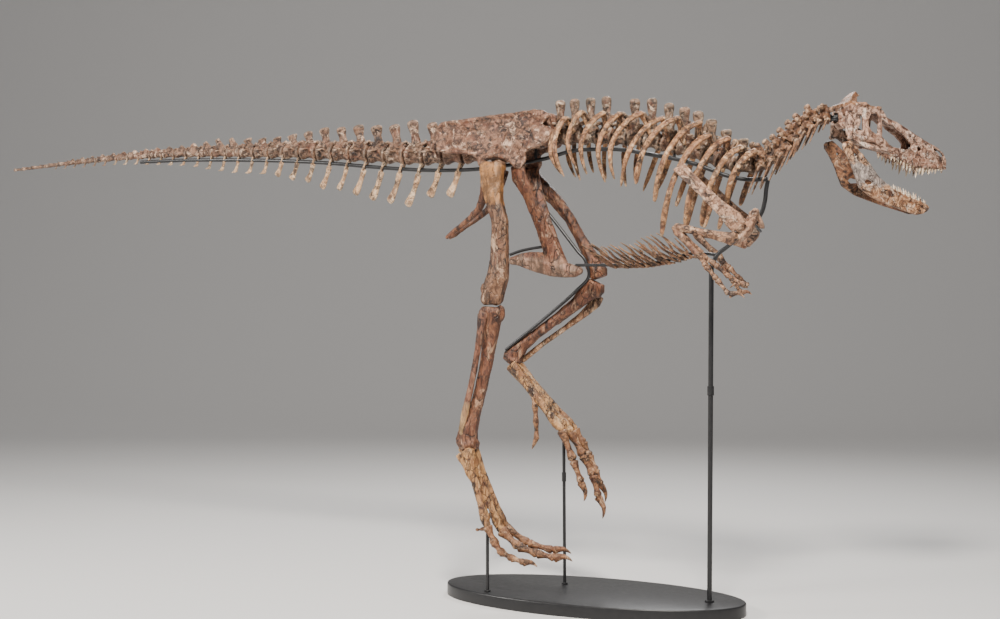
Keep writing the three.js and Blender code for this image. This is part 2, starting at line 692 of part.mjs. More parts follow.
// Length of the teeth along the jaws.
const UPPER_LENGTH = [[286, 24], [337, 38], [380, 44], [430, 52], [512, 36], [598, 18]];
const LOWER_LENGTH = [[272, 20], [326, 32], [367, 36], [435, 36], [500, 24]];
const JAW_WIDTH = [[-20, 98], [120, 88], [240, 66], [380, 42], [470, 27], [520, 14]];
const SKULL_OUTLINE = [
  [18, 2498], [14, 2560], [22, 2626], [40, 2652], [74, 2664], [109, 2657], [133, 2668], [159, 2652],
  [196, 2634], [240, 2634], [264, 2592], [321, 2574], [383, 2540], [451, 2500], [520, 2467], [562, 2450],
  [606, 2421], [626, 2383], [624, 2334], [518, 2339], [433, 2345], [363, 2368], [293, 2398], [275, 2416],
  [216, 2429], [150, 2429], [116, 2436], [91, 2452], [61, 2472], [30, 2486],
];
const SKULL_WINDOWS = [
  [[76, 2522], [90, 2546], [102, 2570], [95, 2600], [106, 2607], [115, 2588], [112, 2522]],
  [[160, 2524], [146, 2545], [146, 2577], [164, 2608], [195, 2614], [208, 2603], [203, 2514], [189, 2505]],
  [[226, 2494], [232, 2578], [242, 2584], [267, 2561], [302, 2553], [314, 2536], [367, 2502], [407, 2461],
    [406, 2443], [377, 2431], [335, 2438], [295, 2444], [268, 2457], [240, 2484]],
  [[441, 2444], [455, 2448], [467, 2436], [458, 2426], [444, 2428]],
  [[540, 2440], [555, 2446], [597, 2417], [611, 2396], [592, 2402], [566, 2412]],
];
const JAW_OUTLINE = [
  [-2, 2461], [31, 2468], [51, 2451], [105, 2400], [155, 2348], [221, 2273], [280, 2233], [368, 2198],
  [458, 2164], [518, 2149], [532, 2136], [522, 2118], [489, 2102], [443, 2094], [354, 2119], [280, 2141],
  [221, 2161], [155, 2184], [85, 2230], [65, 2276], [38, 2346], [11, 2392], [-12, 2426],
];
const JAW_WINDOWS = [
  [[112, 2262], [128, 2275], [168, 2266], [162, 2250], [130, 2247]],
  [[48, 2398], [56, 2409], [67, 2400], [60, 2387]],
];

// Head space to the part's frame.
function place(u, w, z) {
  const [c, s] = [Math.cos(YAW), Math.sin(YAW)];
  return [HEAD_ORIGIN[0] + u * c + w * s, HEAD_ORIGIN[1] + u * s - w * c, z + (ROLL_AXIS - w) * ROLL];
}

function wallAt(u, z) {
  const rise = Math.min(1, Math.max(0, (z - 2420) / 260));
  return table(SKULL_WIDTH, u) * (1 - WALL_LEAN * rise);
}

function bent(solid, width, side) {
  return solid.warp((v) => {
    const p = place(v[0], side * width(v[0], v[1]) + v[2], v[1]);
    v[0] = p[0];
    v[1] = p[1];
    v[2] = p[2];
  });
}

// A bar in head space: stations [u, w, z, halfSide, halfHeight].
function headBar(stations, grow, sides = 4) {
  const across = [Math.sin(YAW), -Math.cos(YAW), 0];
  return bone(stations.map(([u, w, z, a, b]) => [...place(u, w, z), a, b]), grow, sides, across);
}

function tooth(u, w, z, length, thick, lean, grow) {
  const root = place(u, w, z);
  const tip = place(u + lean, w, z - length);
  const along = [Math.cos(YAW), Math.sin(YAW), 0];
  return bone([[...root, thick * 0.7, thick * 0.5], [...tip, 1, 1]], grow, 3, along);
}

function skull(grow) {
  const random = seeded(23);
  const parts = [];
  for (const side of [-1, 1]) {
    parts.push(bent(plate(SKULL_OUTLINE.slice().reverse(), SKULL_WINDOWS, 17, grow), wallAt, side));
    for (let i = 0; i < UPPER_TEETH; i++) {
      const u = lerp(286, 598, i / (UPPER_TEETH - 1));
      const edge = table([[286, 2402], [363, 2368], [433, 2345], [518, 2339], [624, 2334]], u);
      const length = table(UPPER_LENGTH, u) * lerp(0.85, 1.12, random());
      const w = side * table(SKULL_WIDTH, u);
      parts.push(tooth(u, w, edge + 12, length + 12, 12, -length * 0.2, grow));
    }
  }
  parts.push(headBar([
    [24, 0, 2640, 58, 18], [74, 0, 2650, 58, 14], [133, 0, 2652, 54, 12], [200, 0, 2620, 50, 12],
    [262, 0, 2582, 44, 12], [354, 0, 2546, 40, 10], [486, 0, 2474, 36, 10], [572, 0, 2436, 30, 10],
  ], grow));
  parts.push(headBar([[60, 0, 2640, 60, 26], [84, 0, 2686, 46, 17], [108, 0, 2716, 26, 10]], grow));
  parts.push(headBar([[586, 0, 2368, 24, 24], [614, 0, 2362, 17, 20]], grow));
  parts.push(headBar([
    [-6, 0, 2586, 20, 22], [24, 0, 2584, 34, 56], [90, 0, 2590, 32, 52], [130, 0, 2582, 20, 32],
  ], grow));
  parts.push(headBar([[18, 0, 2624, 62, 30], [34, 0, 2628, 62, 30]], grow));
  parts.push(headBar([[100, 0, 2500, 26, 40], [260, 0, 2424, 30, 6], [600, 0, 2360, 22, 8]], grow));
  return join(parts);
}

function jaw(side, grow) {
  const random = seeded(side > 0 ? 91 : 47);
  const bar = plate(JAW_OUTLINE.slice().reverse(), JAW_WINDOWS, 19, grow);
  const parts = [bent(bar, (u) => table(JAW_WIDTH, u), side)];
  for (let i = 0; i < LOWER_TEETH; i++) {
    const u = lerp(272, 500, i / (LOWER_TEETH - 1));
    const edge = table([[280, 2233], [368, 2198], [458, 2164], [518, 2149]], u);
    const length = table(LOWER_LENGTH, u) * lerp(0.85, 1.12, random());
    const w = side * table(JAW_WIDTH, u);
    parts.push(tooth(u, w, edge - 12, -length - 12, 11, length * 0.3, grow));
  }
  return join(parts);
}

function headBlock(grow) {
  return bone([[1268, 127, 2592, 24, 20], [1300, 142, 2592, 24, 20]], grow, 4, [0, 0, 1]);
}

// Pieces in the order they are fitted: each one is cleared around the earlier ones.

const STEEL = new THREE.MeshStandardMaterial({ color: 0x0b0b0c, roughness: 0.42, metalness: 0.35 });
const boneColour = (hex) => new THREE.MeshStandardMaterial({ color: hex, roughness: 0.72, metalness: 0 });
const TAIL_BONE = boneColour(0x9a7d63);
const HIP_BONE = boneColour(0x8a5a44);
const LEG_BONE = boneColour(0x9c7350);
const FOOT_BONE = boneColour(0xb08458);
const TRUNK_BONE = boneColour(0xa98a70);
const HEAD_BONE = boneColour(0xbb9c86);
const JAW_BONE = boneColour(0xb78f6c);

const PIECES = [
  ['stand_base', STEEL, () => base()],
  ['stand_rod_rear', STEEL, (g) => rod(REAR_ROD, [-531, -200, 446], ROD_RADIUS, g)],
  ['stand_rod_middle', STEEL, (g) => rod(MIDDLE_ROD, [-236, 176, 946], ROD_RADIUS, g)],
  ['stand_rod_front', STEEL, (g) => rod(FRONT_ROD, [663, 32, 1840], FRONT_ROD_RADIUS, g)],
  ['stand_spine_tube', STEEL, spineTube],
  ['stand_front_tube', STEEL, frontTube],
  ['stand_leg_tube_left', STEEL, legTube],
  ['stand_belly_rod', STEEL, bellyRod],
  ['stand_pubis_rod', STEEL, (g) => bone([[-487, 0, 1914, 8, 8], [-262, 0, 1956, 8, 8]], g, 8, [0, 1, 0])],
  ['sacrum', HIP_BONE, sacrum],
  ['femur_right', LEG_BONE, (g) => femur(-1, g)],
  ['femur_left', LEG_BONE, (g) => femur(1, g)],
  ['pubis', HIP_BONE, pubis],
  ['ischium_right', HIP_BONE, (g) => ischium(-1, g)],
  ['ischium_left', HIP_BONE, (g) => ischium(1, g)],
  ['ilium_right', HIP_BONE, (g) => ilium(-1, g)],
  ['ilium_left', HIP_BONE, (g) => ilium(1, g)],
  ['tibia_right', LEG_BONE, (g) => tibia(-1, g)],
  ['tibia_left', LEG_BONE, (g) => tibia(1, g)],
  ['fibula_right', LEG_BONE, (g) => fibula(-1, g)],
  ['fibula_left', LEG_BONE, (g) => fibula(1, g)],
  ['metatarsus_right', FOOT_BONE, (g) => metatarsus(-1, g)],
  ['metatarsus_left', FOOT_BONE, (g) => metatarsus(1, g)],
  ['hallux_right', FOOT_BONE, (g) => hallux(-1, g)],
  ['hallux_left', FOOT_BONE, (g) => hallux(1, g)],
  ['toe_2_right', FOOT_BONE, (g) => digit(TOES.right[2], 27, 17, g)],
  ['toe_3_right', FOOT_BONE, (g) => digit(TOES.right[3], 29, 18, g)],
  ['toe_4_right', FOOT_BONE, (g) => digit(TOES.right[4], 26, 16, g)],
  ['toe_2_left', FOOT_BONE, (g) => digit(TOES.left[2], 27, 17, g)],
  ['toe_3_left', FOOT_BONE, (g) => digit(TOES.left[3], 29, 18, g)],
  ['toe_4_left', FOOT_BONE, (g) => digit(TOES.left[4], 26, 16, g)],
  ['tail_1', TAIL_BONE, (g) => tail(0, 8, g)],
  ['tail_2', TAIL_BONE, (g) => tail(8, 16, g)],
  ['tail_3', TAIL_BONE, (g) => tail(16, 25, g)],
  ['tail_4', TAIL_BONE, (g) => tail(25, 35, g)],
  ['ribcage_right', TRUNK_BONE, (g) => ribcage(-1, g)],
  ['ribcage_left', TRUNK_BONE, (g) => ribcage(1, g)],
  ['neck_rear', TRUNK_BONE, (g) => neck(0, 4, g)],
  ['neck_front', TRUNK_BONE, (g) => neck(4, 9, g)],
  ['stand_head_block', STEEL, headBlock],
  ['scapula_right', TRUNK_BONE, (g) => scapula(-1, g)],
  ['scapula_left', TRUNK_BONE, (g) => scapula(1, g)],
  ['furcula', TRUNK_BONE, furcula],
  ['humerus_right', LEG_BONE, (g) => humerus(-1, g)],
  ['humerus_left', LEG_BONE, (g) => humerus(1, g)],
  ['forearm_right', LEG_BONE, (g) => forearm(-1, g)],
  ['forearm_left', LEG_BONE, (g) => forearm(1, g)],
  ['hand_right', FOOT_BONE, (g) => hand(-1, g)],
  ['hand_left', FOOT_BONE, (g) => hand(1, g)],
  ['gastralia', TRUNK_BONE, gastralia],
  ['skull', HEAD_BONE, skull],
  ['jaw_right', JAW_BONE, (g) => jaw(1, g)],
  ['jaw_left', JAW_BONE, (g) => jaw(-1, g)],
];

function near(a, b) {
  const [p, q] = [a.boundingBox(), b.boundingBox()];
  return [0, 1, 2].every((k) => p.min[k] < q.max[k] && q.min[k] < p.max[k]);
}

function build() {
  const group = new THREE.Group();
  const fitted = [];
  for (const [name, material, make] of PIECES) {
    let solid = make(0);
    const grown = make(GAP);
    for (const other of fitted) {
      if (near(solid, other)) solid = solid.subtract(other);
    }
    solid = largest(solid.simplify(0.2));
    fitted.push(grown);
    const out = solid.getMesh();
    const geometry = new THREE.BufferGeometry();
    geometry.setAttribute('position', new THREE.Float32BufferAttribute(out.vertProperties, 3));
    geometry.setIndex(Array.from(out.triVerts));
    const mesh = new THREE.Mesh(geometry, material);
    mesh.name = name;
    group.add(mesh);
  }
  return group;
}

export default build();
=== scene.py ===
import math

import bmesh
import bpy
import numpy as np
from mathutils import Matrix, Vector


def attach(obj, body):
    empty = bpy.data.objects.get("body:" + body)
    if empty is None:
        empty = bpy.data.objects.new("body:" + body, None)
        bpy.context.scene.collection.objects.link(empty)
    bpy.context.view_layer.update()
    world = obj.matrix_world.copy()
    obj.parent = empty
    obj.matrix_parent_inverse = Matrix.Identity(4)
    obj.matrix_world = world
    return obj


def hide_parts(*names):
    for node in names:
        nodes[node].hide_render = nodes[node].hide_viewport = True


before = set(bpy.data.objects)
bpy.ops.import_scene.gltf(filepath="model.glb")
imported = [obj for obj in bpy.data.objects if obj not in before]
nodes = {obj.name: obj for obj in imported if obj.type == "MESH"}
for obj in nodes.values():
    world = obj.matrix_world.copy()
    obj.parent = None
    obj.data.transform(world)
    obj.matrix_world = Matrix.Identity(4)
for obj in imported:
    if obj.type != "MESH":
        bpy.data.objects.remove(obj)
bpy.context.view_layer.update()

MM = 0.001


# Geometry helpers. Stations are [x, y, z, half size along the hint, half size across] in millimetres.

def loft(bm, stations, sides=10, hint=(1, 0, 0)):
    points = [Vector(s[:3]) for s in stations]
    hint = Vector(hint)
    rings = []
    for i, p in enumerate(points):
        t = (points[min(i + 1, len(points) - 1)] - points[max(i - 1, 0)]).normalized()
        a = (hint - t * hint.dot(t)).normalized()
        b = t.cross(a)
        ring = []
        for k in range(sides):
            w = 2 * math.pi * k / sides
            q = p + a * (stations[i][3] * math.cos(w)) + b * (stations[i][4] * math.sin(w))
            ring.append(bm.verts.new(q * MM))
        rings.append(ring)
    for lower, upper in zip(rings, rings[1:]):
        for k in range(sides):
            n = (k + 1) % sides
            bm.faces.new((lower[k], lower[n], upper[n], upper[k]))
    bm.faces.new(list(reversed(rings[0])))
    bm.faces.new(rings[-1])


def ball(bm, centre, radii):
    m = Matrix.Translation(Vector(centre) * MM) @ Matrix.Diagonal((*[r * MM for r in radii], 1))
    bmesh.ops.create_uvsphere(bm, u_segments=12, v_segments=8, radius=1, matrix=m)


def lerp(a, b, t):
    return a + (b - a) * t


def table(pairs, x):
    return float(np.interp(x, [p[0] for p in pairs], [p[1] for p in pairs]))


def spline(points, count):
    """Centripetal Catmull-Rom through points, sampled evenly by length."""
    p = [np.array(q, float) for q in points]
    p = [2 * p[0] - p[1]] + p + [2 * p[-1] - p[-2]]
    out = []
    for i in range(1, len(p) - 2):
        k = [0.0]
        for j in range(i - 1, i + 2):
            k.append(k[-1] + np.linalg.norm(p[j + 1] - p[j]) ** 0.5)
        for s in np.linspace(k[1], k[2], 24, endpoint=False):
            a = [(k[j + 1] - s) / (k[j + 1] - k[j]) * p[i - 1 + j] + (s - k[j]) / (k[j + 1] - k[j]) * p[i + j]
                 for j in range(3)]
            b = [(k[j + 2] - s) / (k[j + 2] - k[j]) * a[j] + (s - k[j]) / (k[j + 2] - k[j]) * a[j + 1]
                 for j in range(2)]
            out.append((k[2] - s) / (k[2] - k[1]) * b[0] + (s - k[1]) / (k[2] - k[1]) * b[1])
    out.append(p[-2])
    out = np.array(out)
    run = np.concatenate([[0], np.cumsum(np.linalg.norm(np.diff(out, axis=0), axis=1))])
    at = np.linspace(0, run[-1], count)
    return np.stack([np.interp(at, run, out[:, k]) for k in range(out.shape[1])], axis=1), run[-1]


def curved(bm, stations, count, sides=10, hint=(1, 0, 0)):
    loft(bm, [list(s) for s in spline(stations, count)[0]], sides, hint)


def grain(points, size, seed):
    """Smooth noise from -1 to 1 at points, with features about size metres across."""
    p = points / size + seed * 17.13
    cell = np.floor(p).astype(np.int64)
    f = p - cell
    u = f * f * f * (f * (f * 6 - 15) + 10)
    total = np.zeros(len(p))
    for dx in (0, 1):
        for dy in (0, 1):
            for dz in (0, 1):
                c = cell + np.array([dx, dy, dz])
                h = (c[:, 0] * 73856093) ^ (c[:, 1] * 19349663) ^ (c[:, 2] * 83492791) ^ (seed * 2654435)
                h = (h ^ (h >> 13)) * 1274126177
                g = [(((h >> s) & 1023) / 511.5) - 1 for s in (3, 11, 19)]
                d = f - np.array([dx, dy, dz])
                dot = g[0] * d[:, 0] + g[1] * d[:, 1] + g[2] * d[:, 2]
                wx = u[:, 0] if dx else 1 - u[:, 0]
                wy = u[:, 1] if dy else 1 - u[:, 1]
                wz = u[:, 2] if dz else 1 - u[:, 2]
                total += dot * wx * wy * wz
    return total


def carve(me, seed, rough):
    """Wears a remeshed bone: swellings, pits and fine grain along its normals."""
    n = len(me.vertices)
    co = np.empty(n * 3)
    me.vertices.foreach_get("co", co)
    co = co.reshape(n, 3)
    nor = np.empty(n * 3)
    me.vertex_normals.foreach_get("vector", nor)
    nor = nor.reshape(n, 3)
    push = 2.4 * grain(co, 0.06, seed) + 1.7 * grain(co, 0.024, seed + 1) + 1.0 * grain(co, 0.010, seed + 2)
    pits = np.clip(grain(co, 0.018, seed + 3) - 0.26, 0, 1)
    push = (push - pits * 6) * rough
    co = co + nor * (push * MM)[:, None]
    me.vertices.foreach_set("co", co.reshape(-1))
    me.update()


def placed(name, data):
    obj = bpy.data.objects.new(name, data)
    bpy.context.scene.collection.objects.link(obj)
    return obj


def apply_modifiers(obj):
    """Swaps the object's mesh for the one that its modifiers make, and returns it."""
    before = obj.data
    shaped = obj.evaluated_get(bpy.context.evaluated_depsgraph_get())
    obj.data = bpy.data.meshes.new_from_object(shaped)
    obj.modifiers.clear()
    bpy.data.meshes.remove(before)
    return obj.data


COARSE = 1.15            # all voxels, against their listed sizes
KEPT_FACES = 0.34        # share of the faces left after thinning


def bone_piece(name, voxel, material, slot, seed, rough, smooth, build, copied, stands_for=None):
    """One worn bone: copies of CAD meshes and built lumps, joined by voxels."""
    bm = bmesh.new()
    for node in copied:
        part = bmesh.new()
        part.from_mesh(nodes[node].data)
        part.transform(nodes[node].matrix_world)
        copy = bpy.data.meshes.new("copy")
        part.to_mesh(copy)
        part.free()
        bm.from_mesh(copy)
        bpy.data.meshes.remove(copy)
    if build:
        build(bm)
    me = bpy.data.meshes.new(name)
    bm.to_mesh(me)
    bm.free()
    obj = placed(name, me)
    voxels = obj.modifiers.new("voxels", "REMESH")
    voxels.mode = "VOXEL"
    voxels.voxel_size = voxel * COARSE * MM * 1
    softer = obj.modifiers.new("smooth", "SMOOTH")
    softer.factor = 0.5
    softer.iterations = smooth
    done = apply_modifiers(obj)
    done.materials.clear()
    done.materials.append(material)
    carve(done, seed, rough)
    obj.modifiers.new("thin", "DECIMATE").ratio = KEPT_FACES
    apply_modifiers(obj).shade_smooth()
    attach(obj, "root")
    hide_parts(*(stands_for or copied))


# Materials

def surface(name):
    """A new material, with a function that adds nodes and one that sets a node's inputs."""
    mat = bpy.data.materials.new(name)
    mat.use_nodes = True
    nt = mat.node_tree

    def wire(target, inputs):
        """Inputs are numbers, colours or outputs of other nodes."""
        for key, value in inputs.items():
            socket = target.inputs[key]
            if isinstance(value, bpy.types.NodeSocket):
                nt.links.new(value, socket)
            elif socket.type == "RGBA":
                socket.default_value = (*value, 1)
            else:
                socket.default_value = value

    def node(kind, inputs=None, out=0, **settings):
        """Adds a node and returns one of its outputs."""
        made = nt.nodes.new("ShaderNode" + kind)
        for key, value in settings.items():
            setattr(made, key, value)
        wire(made, inputs or {})
        return made.outputs[out]

    return mat, node, lambda inputs: wire(nt.nodes["Principled BSDF"], inputs)


# Painted shade colour, laid into hollows and creases by pointiness
HOLLOW_SHADE = (0.016, 0.007, 0.004)
CRACK = (0.018, 0.009, 0.006)
SPECK = (0.028, 0.013, 0.008)


def fossil(name, dark, mid, light, pale, pale_amount, red_amount, red=(0.22, 0.075, 0.04),
           streak=1, patch=None):
    """Stained bone, with painted shade in its hollows and a painted highlight on its sharp edges. streak
    below 1 draws its marks out in height; patch is (low z, high z, colour).
    """
    dark, mid, light, pale = (tuple(v / 1000 for v in tone) for tone in (dark, mid, light, pale))
    mat, node, finish = surface(name)
    coord = node("TexCoord", out="Object")
    place = node("Mapping", {"Vector": coord, "Scale": (1, 1, streak)})

    def noise(scale, detail=6, rough=0.6, warp=0.0):
        return node("TexNoise", {"Vector": place, "Scale": scale, "Detail": detail, "Roughness": rough,
                                 "Distortion": warp})

    def ramp(value, low, high):
        return node("MapRange", {"Value": value, "From Min": low, "From Max": high},
                    interpolation_type="SMOOTHSTEP")

    def mix(factor, a, b):
        return node("Mix", {"Factor": factor, "A": a, "B": b}, "Result", data_type="RGBA")

    def maths(op, a, b):
        return node("Math", {0: a, 1: b}, operation=op)

    def times(a, b):
        return maths("MULTIPLY", a, b)

    def rest(a):
        return maths("SUBTRACT", 1.0, a)

    colour = mix(ramp(noise(12, 7, 0.66, 0.5), 0.42, 0.58), dark, mid)
    colour = mix(ramp(noise(34, 8, 0.70, 0.9), 0.44, 0.60), colour, light)
    pales = times(ramp(noise(20, 9, 0.76, 0.9), 0.53, 0.63), pale_amount)
    if patch:
        low, high, tone = patch
        height = node("SeparateXYZ", {0: coord}, 2)
        uneven = maths("ADD", height, times(maths("SUBTRACT", noise(13, 7, 0.7), 0.5), 0.16))
        inside = times(ramp(uneven, low, low + 0.02), rest(ramp(uneven, high, high + 0.02)))
        shade = tuple(c * 0.35 for c in tone)
        colour = mix(inside, colour, mix(ramp(noise(23, 7, 0.68, 0.6), 0.42, 0.60), shade, tone))
        pales = times(pales, rest(times(inside, 0.6)))
    colour = mix(times(ramp(noise(8, 7, 0.66, 1.3), 0.50, 0.62), red_amount), colour, red)
    colour = mix(pales, colour, pale)
    shift = node("TexNoise", {"Vector": place, "Scale": 11}, "Color")
    shift = node("VectorMath", {0: shift, "Scale": 0.09}, operation="SCALE")
    warped = node("VectorMath", {0: place, 1: shift}, operation="ADD")
    edges = node("TexVoronoi", {"Vector": warped, "Scale": 24}, feature="DISTANCE_TO_EDGE")
    broken = times(rest(ramp(edges, 0.0, 0.045)), ramp(noise(8, 3), 0.45, 0.55))
    colour = mix(times(broken, 0.85), colour, CRACK)
    colour = mix(times(ramp(noise(95, 6, 0.74), 0.54, 0.66), 0.62), colour, SPECK)
    form = node("NewGeometry", out="Pointiness")
    # Painted shade: hollows, creases and gaps between joined parts (low pointiness) are darkened towards the
    # painted shade colour
    colour = mix(times(rest(ramp(form, 0.42, 0.50)), 0.92), colour, HOLLOW_SHADE)
    # Painted highlight: sharp convex edges (high pointiness) are lightened towards the pale tone
    colour = mix(times(ramp(form, 0.515, 0.60), 0.36), colour, pale)
    sheen = node("MapRange", {"Value": noise(30, 4), "To Min": 0.34, "To Max": 0.70})
    height = maths("ADD", noise(62, 8, 0.72), times(noise(240, 4), 0.35))
    height = maths("SUBTRACT", height, times(broken, 0.7))
    bump = node("Bump", {"Height": height, "Strength": 1.0, "Distance": 0.006})
    finish({"Base Color": colour, "Roughness": sheen, "Specular IOR Level": 0.45, "Normal": bump})
    return mat


def satin_black():
    mat, node, finish = surface("satin_black")
    coord = node("TexCoord", out="Object")
    fine = node("TexNoise", {"Vector": coord, "Scale": 38, "Detail": 8})
    tone = node("Mix", {"Factor": fine, "A": (0.007, 0.007, 0.008), "B": (0.018, 0.018, 0.019)},
                "Result", data_type="RGBA")
    gloss = node("MapRange", {"Value": fine, "To Min": 0.28, "To Max": 0.46})
    grit = node("TexNoise", {"Vector": coord, "Scale": 420})
    bump = node("Bump", {"Height": grit, "Strength": 0.12, "Distance": 0.001})
    finish({"Base Color": tone, "Roughness": gloss, "Normal": bump})
    return mat


def satin_black():
    mat = bpy.data.materials.new("satin_black")
    mat.use_nodes = True
    nt = mat.node_tree
    bsdf = nt.nodes["Principled BSDF"]
    coord = nt.nodes.new("ShaderNodeTexCoord")
    fine = nt.nodes.new("ShaderNodeTexNoise")
    fine.inputs["Scale"].default_value = 38
    fine.inputs["Detail"].default_value = 8
    nt.links.new(coord.outputs["Object"], fine.inputs["Vector"])
    tone = nt.nodes.new("ShaderNodeMix")
    tone.data_type = "RGBA"
    tone.inputs["A"].default_value = (0.007, 0.007, 0.008, 1)
    tone.inputs["B"].default_value = (0.018, 0.018, 0.019, 1)
    nt.links.new(fine.outputs[0], tone.inputs["Factor"])
    nt.links.new(tone.outputs["Result"], bsdf.inputs["Base Color"])
    r = nt.nodes.new("ShaderNodeMapRange")
    r.inputs["To Min"].default_value = 0.28
    r.inputs["To Max"].default_value = 0.46
    nt.links.new(fine.outputs[0], r.inputs["Value"])
    nt.links.new(r.outputs[0], bsdf.inputs["Roughness"])
    bump = nt.nodes.new("ShaderNodeBump")
    bump.inputs["Strength"].default_value = 0.12
    bump.inputs["Distance"].default_value = 0.001
    grit = nt.nodes.new("ShaderNodeTexNoise")
    grit.inputs["Scale"].default_value = 420
    nt.links.new(coord.outputs["Object"], grit.inputs["Vector"])
    nt.links.new(grit.outputs[0], bump.inputs["Height"])
    nt.links.new(bump.outputs[0], bsdf.inputs["Normal"])
    return mat


# Tones from dark to pale in thousandths, share of pale bone, share of red bone
TAIL = fossil("bone_tail", (16, 7, 4), (70, 32, 17), (215, 118, 70), (640, 460, 330), 0.9, 0.3)
CHEVRON = fossil("bone_chevron", (45, 22, 11), (306, 163, 79), (560, 360, 205), (798, 610, 418), 0.6, 0.15)
HIP = fossil("bone_hip", (18, 7, 4), (93, 37, 17), (232, 115, 66), (600, 410, 290), 0.85, 0.35)
PUBIS = fossil("bone_pubis", (16, 5, 3), (77, 25, 10), (172, 65, 28), (442, 241, 131), 0.5, 0.4, streak=0.4)
FEMUR = fossil("bone_femur", (17, 8, 5), (90, 40, 19), (216, 109, 58), (557, 370, 239), 0.65, 0.2,
               streak=0.5, patch=(2.17, 2.39, (0.34, 0.150, 0.045)))
BOOT = fossil("bone_boot", (16, 5, 3), (77, 25, 10), (172, 65, 28), (500, 330, 220), 0.6, 0.4,
              streak=0.4, patch=(1.67, 1.885, (0.30, 0.175, 0.115)))
SHIN = fossil("bone_shin", (17, 6, 4), (86, 29, 13), (204, 83, 41), (576, 361, 223), 0.55, 0.4, streak=0.4)
SPLINT = fossil("bone_splint", (30, 12, 5), (192, 92, 43), (440, 254, 141), (740, 545, 370), 0.75, 0.25,
                streak=0.4)
FOOT = fossil("bone_foot", (27, 10, 4), (224, 98, 33), (460, 242, 95), (720, 498, 284), 0.6, 0.25, streak=0.5)
TOE = fossil("bone_toe", (24, 10, 5), (134, 53, 22), (312, 149, 68), (653, 421, 254), 0.6, 0.3)
COLUMN = fossil("bone_column", (13, 7, 4), (64, 31, 17), (208, 122, 73), (634, 482, 347), 0.75, 0.25)
NECK = fossil("bone_neck", (16, 7, 4), (77, 31, 14), (232, 115, 59), (595, 404, 262), 0.6, 0.4,
              red=(0.23, 0.080, 0.026))
RIB = fossil("bone_rib", (20, 8, 4), (163, 70, 28), (402, 205, 94), (720, 497, 303), 0.65, 0.3)
SHOULDER = fossil("bone_shoulder", (30, 12, 7), (220, 106, 58), (446, 258, 161), (720, 541, 405), 0.65, 0.2)
ARM = fossil("bone_arm", (24, 10, 6), (134, 60, 29), (312, 165, 90), (672, 456, 300), 0.6, 0.3)
BELLY = fossil("bone_belly", (18, 8, 4), (96, 40, 17), (232, 112, 53), (557, 353, 200), 0.55, 0.35)
HEAD = fossil("bone_head", (30, 12, 7), (224, 110, 68), (518, 323, 230), (848, 694, 580), 0.75, 0.2,
              patch=(2.64, 9.0, (0.27, 0.115, 0.045)))
JAW = fossil("bone_jaw", (28, 10, 5), (244, 105, 46), (561, 321, 179), (827, 660, 528), 0.65, 0.25,
             patch=(2.235, 2.345, (0.50, 0.41, 0.36)))
# Painted shade: a darkened copy of the jaw tones, for the far (left) jaw
SHADED_FAR_JAW = fossil("bone_far_jaw_in_shade", (19, 7, 4), (106, 40, 16), (256, 119, 55), (595, 413, 277), 0.5, 0.4)
TOOTH = fossil("tooth", (200, 110, 55), (520, 390, 260), (726, 594, 441), (882, 809, 683), 0.75, 0.1)
FIBULA = fossil("bone_fibula", (17, 6, 4), (105, 38, 19), (200, 85, 48), (500, 320, 200), 0.4, 0.4,
                streak=0.4, patch=(0.88, 1.09, (0.46, 0.28, 0.13)))
BLACK = satin_black()


# Backbone, on the same lines as the solids

def on_line(line, share):
    """The point at a share of the way along a sampled line."""
    k = min(1, max(0, share)) * (len(line) - 1)
    return [float(np.interp(k, np.arange(len(line)), line[:, j])) for j in range(3)]


def centrum(bm, at, r, hint=(0, 0, 1)):
    """A spool-shaped vertebra body. at(f) is its axis from 0 to 1."""
    shape = ((0.055, 0.92), (0.09, 1.10), (0.18, 1.04), (0.34, 0.86), (0.5, 0.79), (0.66, 0.86), (0.82, 1.04),
             (0.91, 1.10), (0.945, 0.92))
    loft(bm, [[*at(f), r * k, r * k * 0.95] for f, k in shape], 16, hint)
    loft(bm, [[*at(-0.06), r * 0.52, r * 0.52], [*at(1.06), r * 0.52, r * 0.52]], 12, hint)


def spine(bm, foot, top, root, waist, crown, thick):
    """A neural spine: wide foot, narrow waist, rounded and thickened crown."""
    f, t = np.array(foot, float), np.array(top, float)
    rows = ((0.0, root, thick * 1.5), (0.25, lerp(root, waist, 0.7), thick), (0.5, waist, thick * 0.75),
            (0.74, lerp(waist, crown, 0.75), thick * 0.9), (0.86, crown, thick * 1.3),
            (0.94, crown * 0.94, thick * 1.35), (0.985, crown * 0.70, thick),
            (1.0, crown * 0.42, thick * 0.6))
    loft(bm, [[*lerp(f, t, k), a, b] for k, a, b in rows], 12)


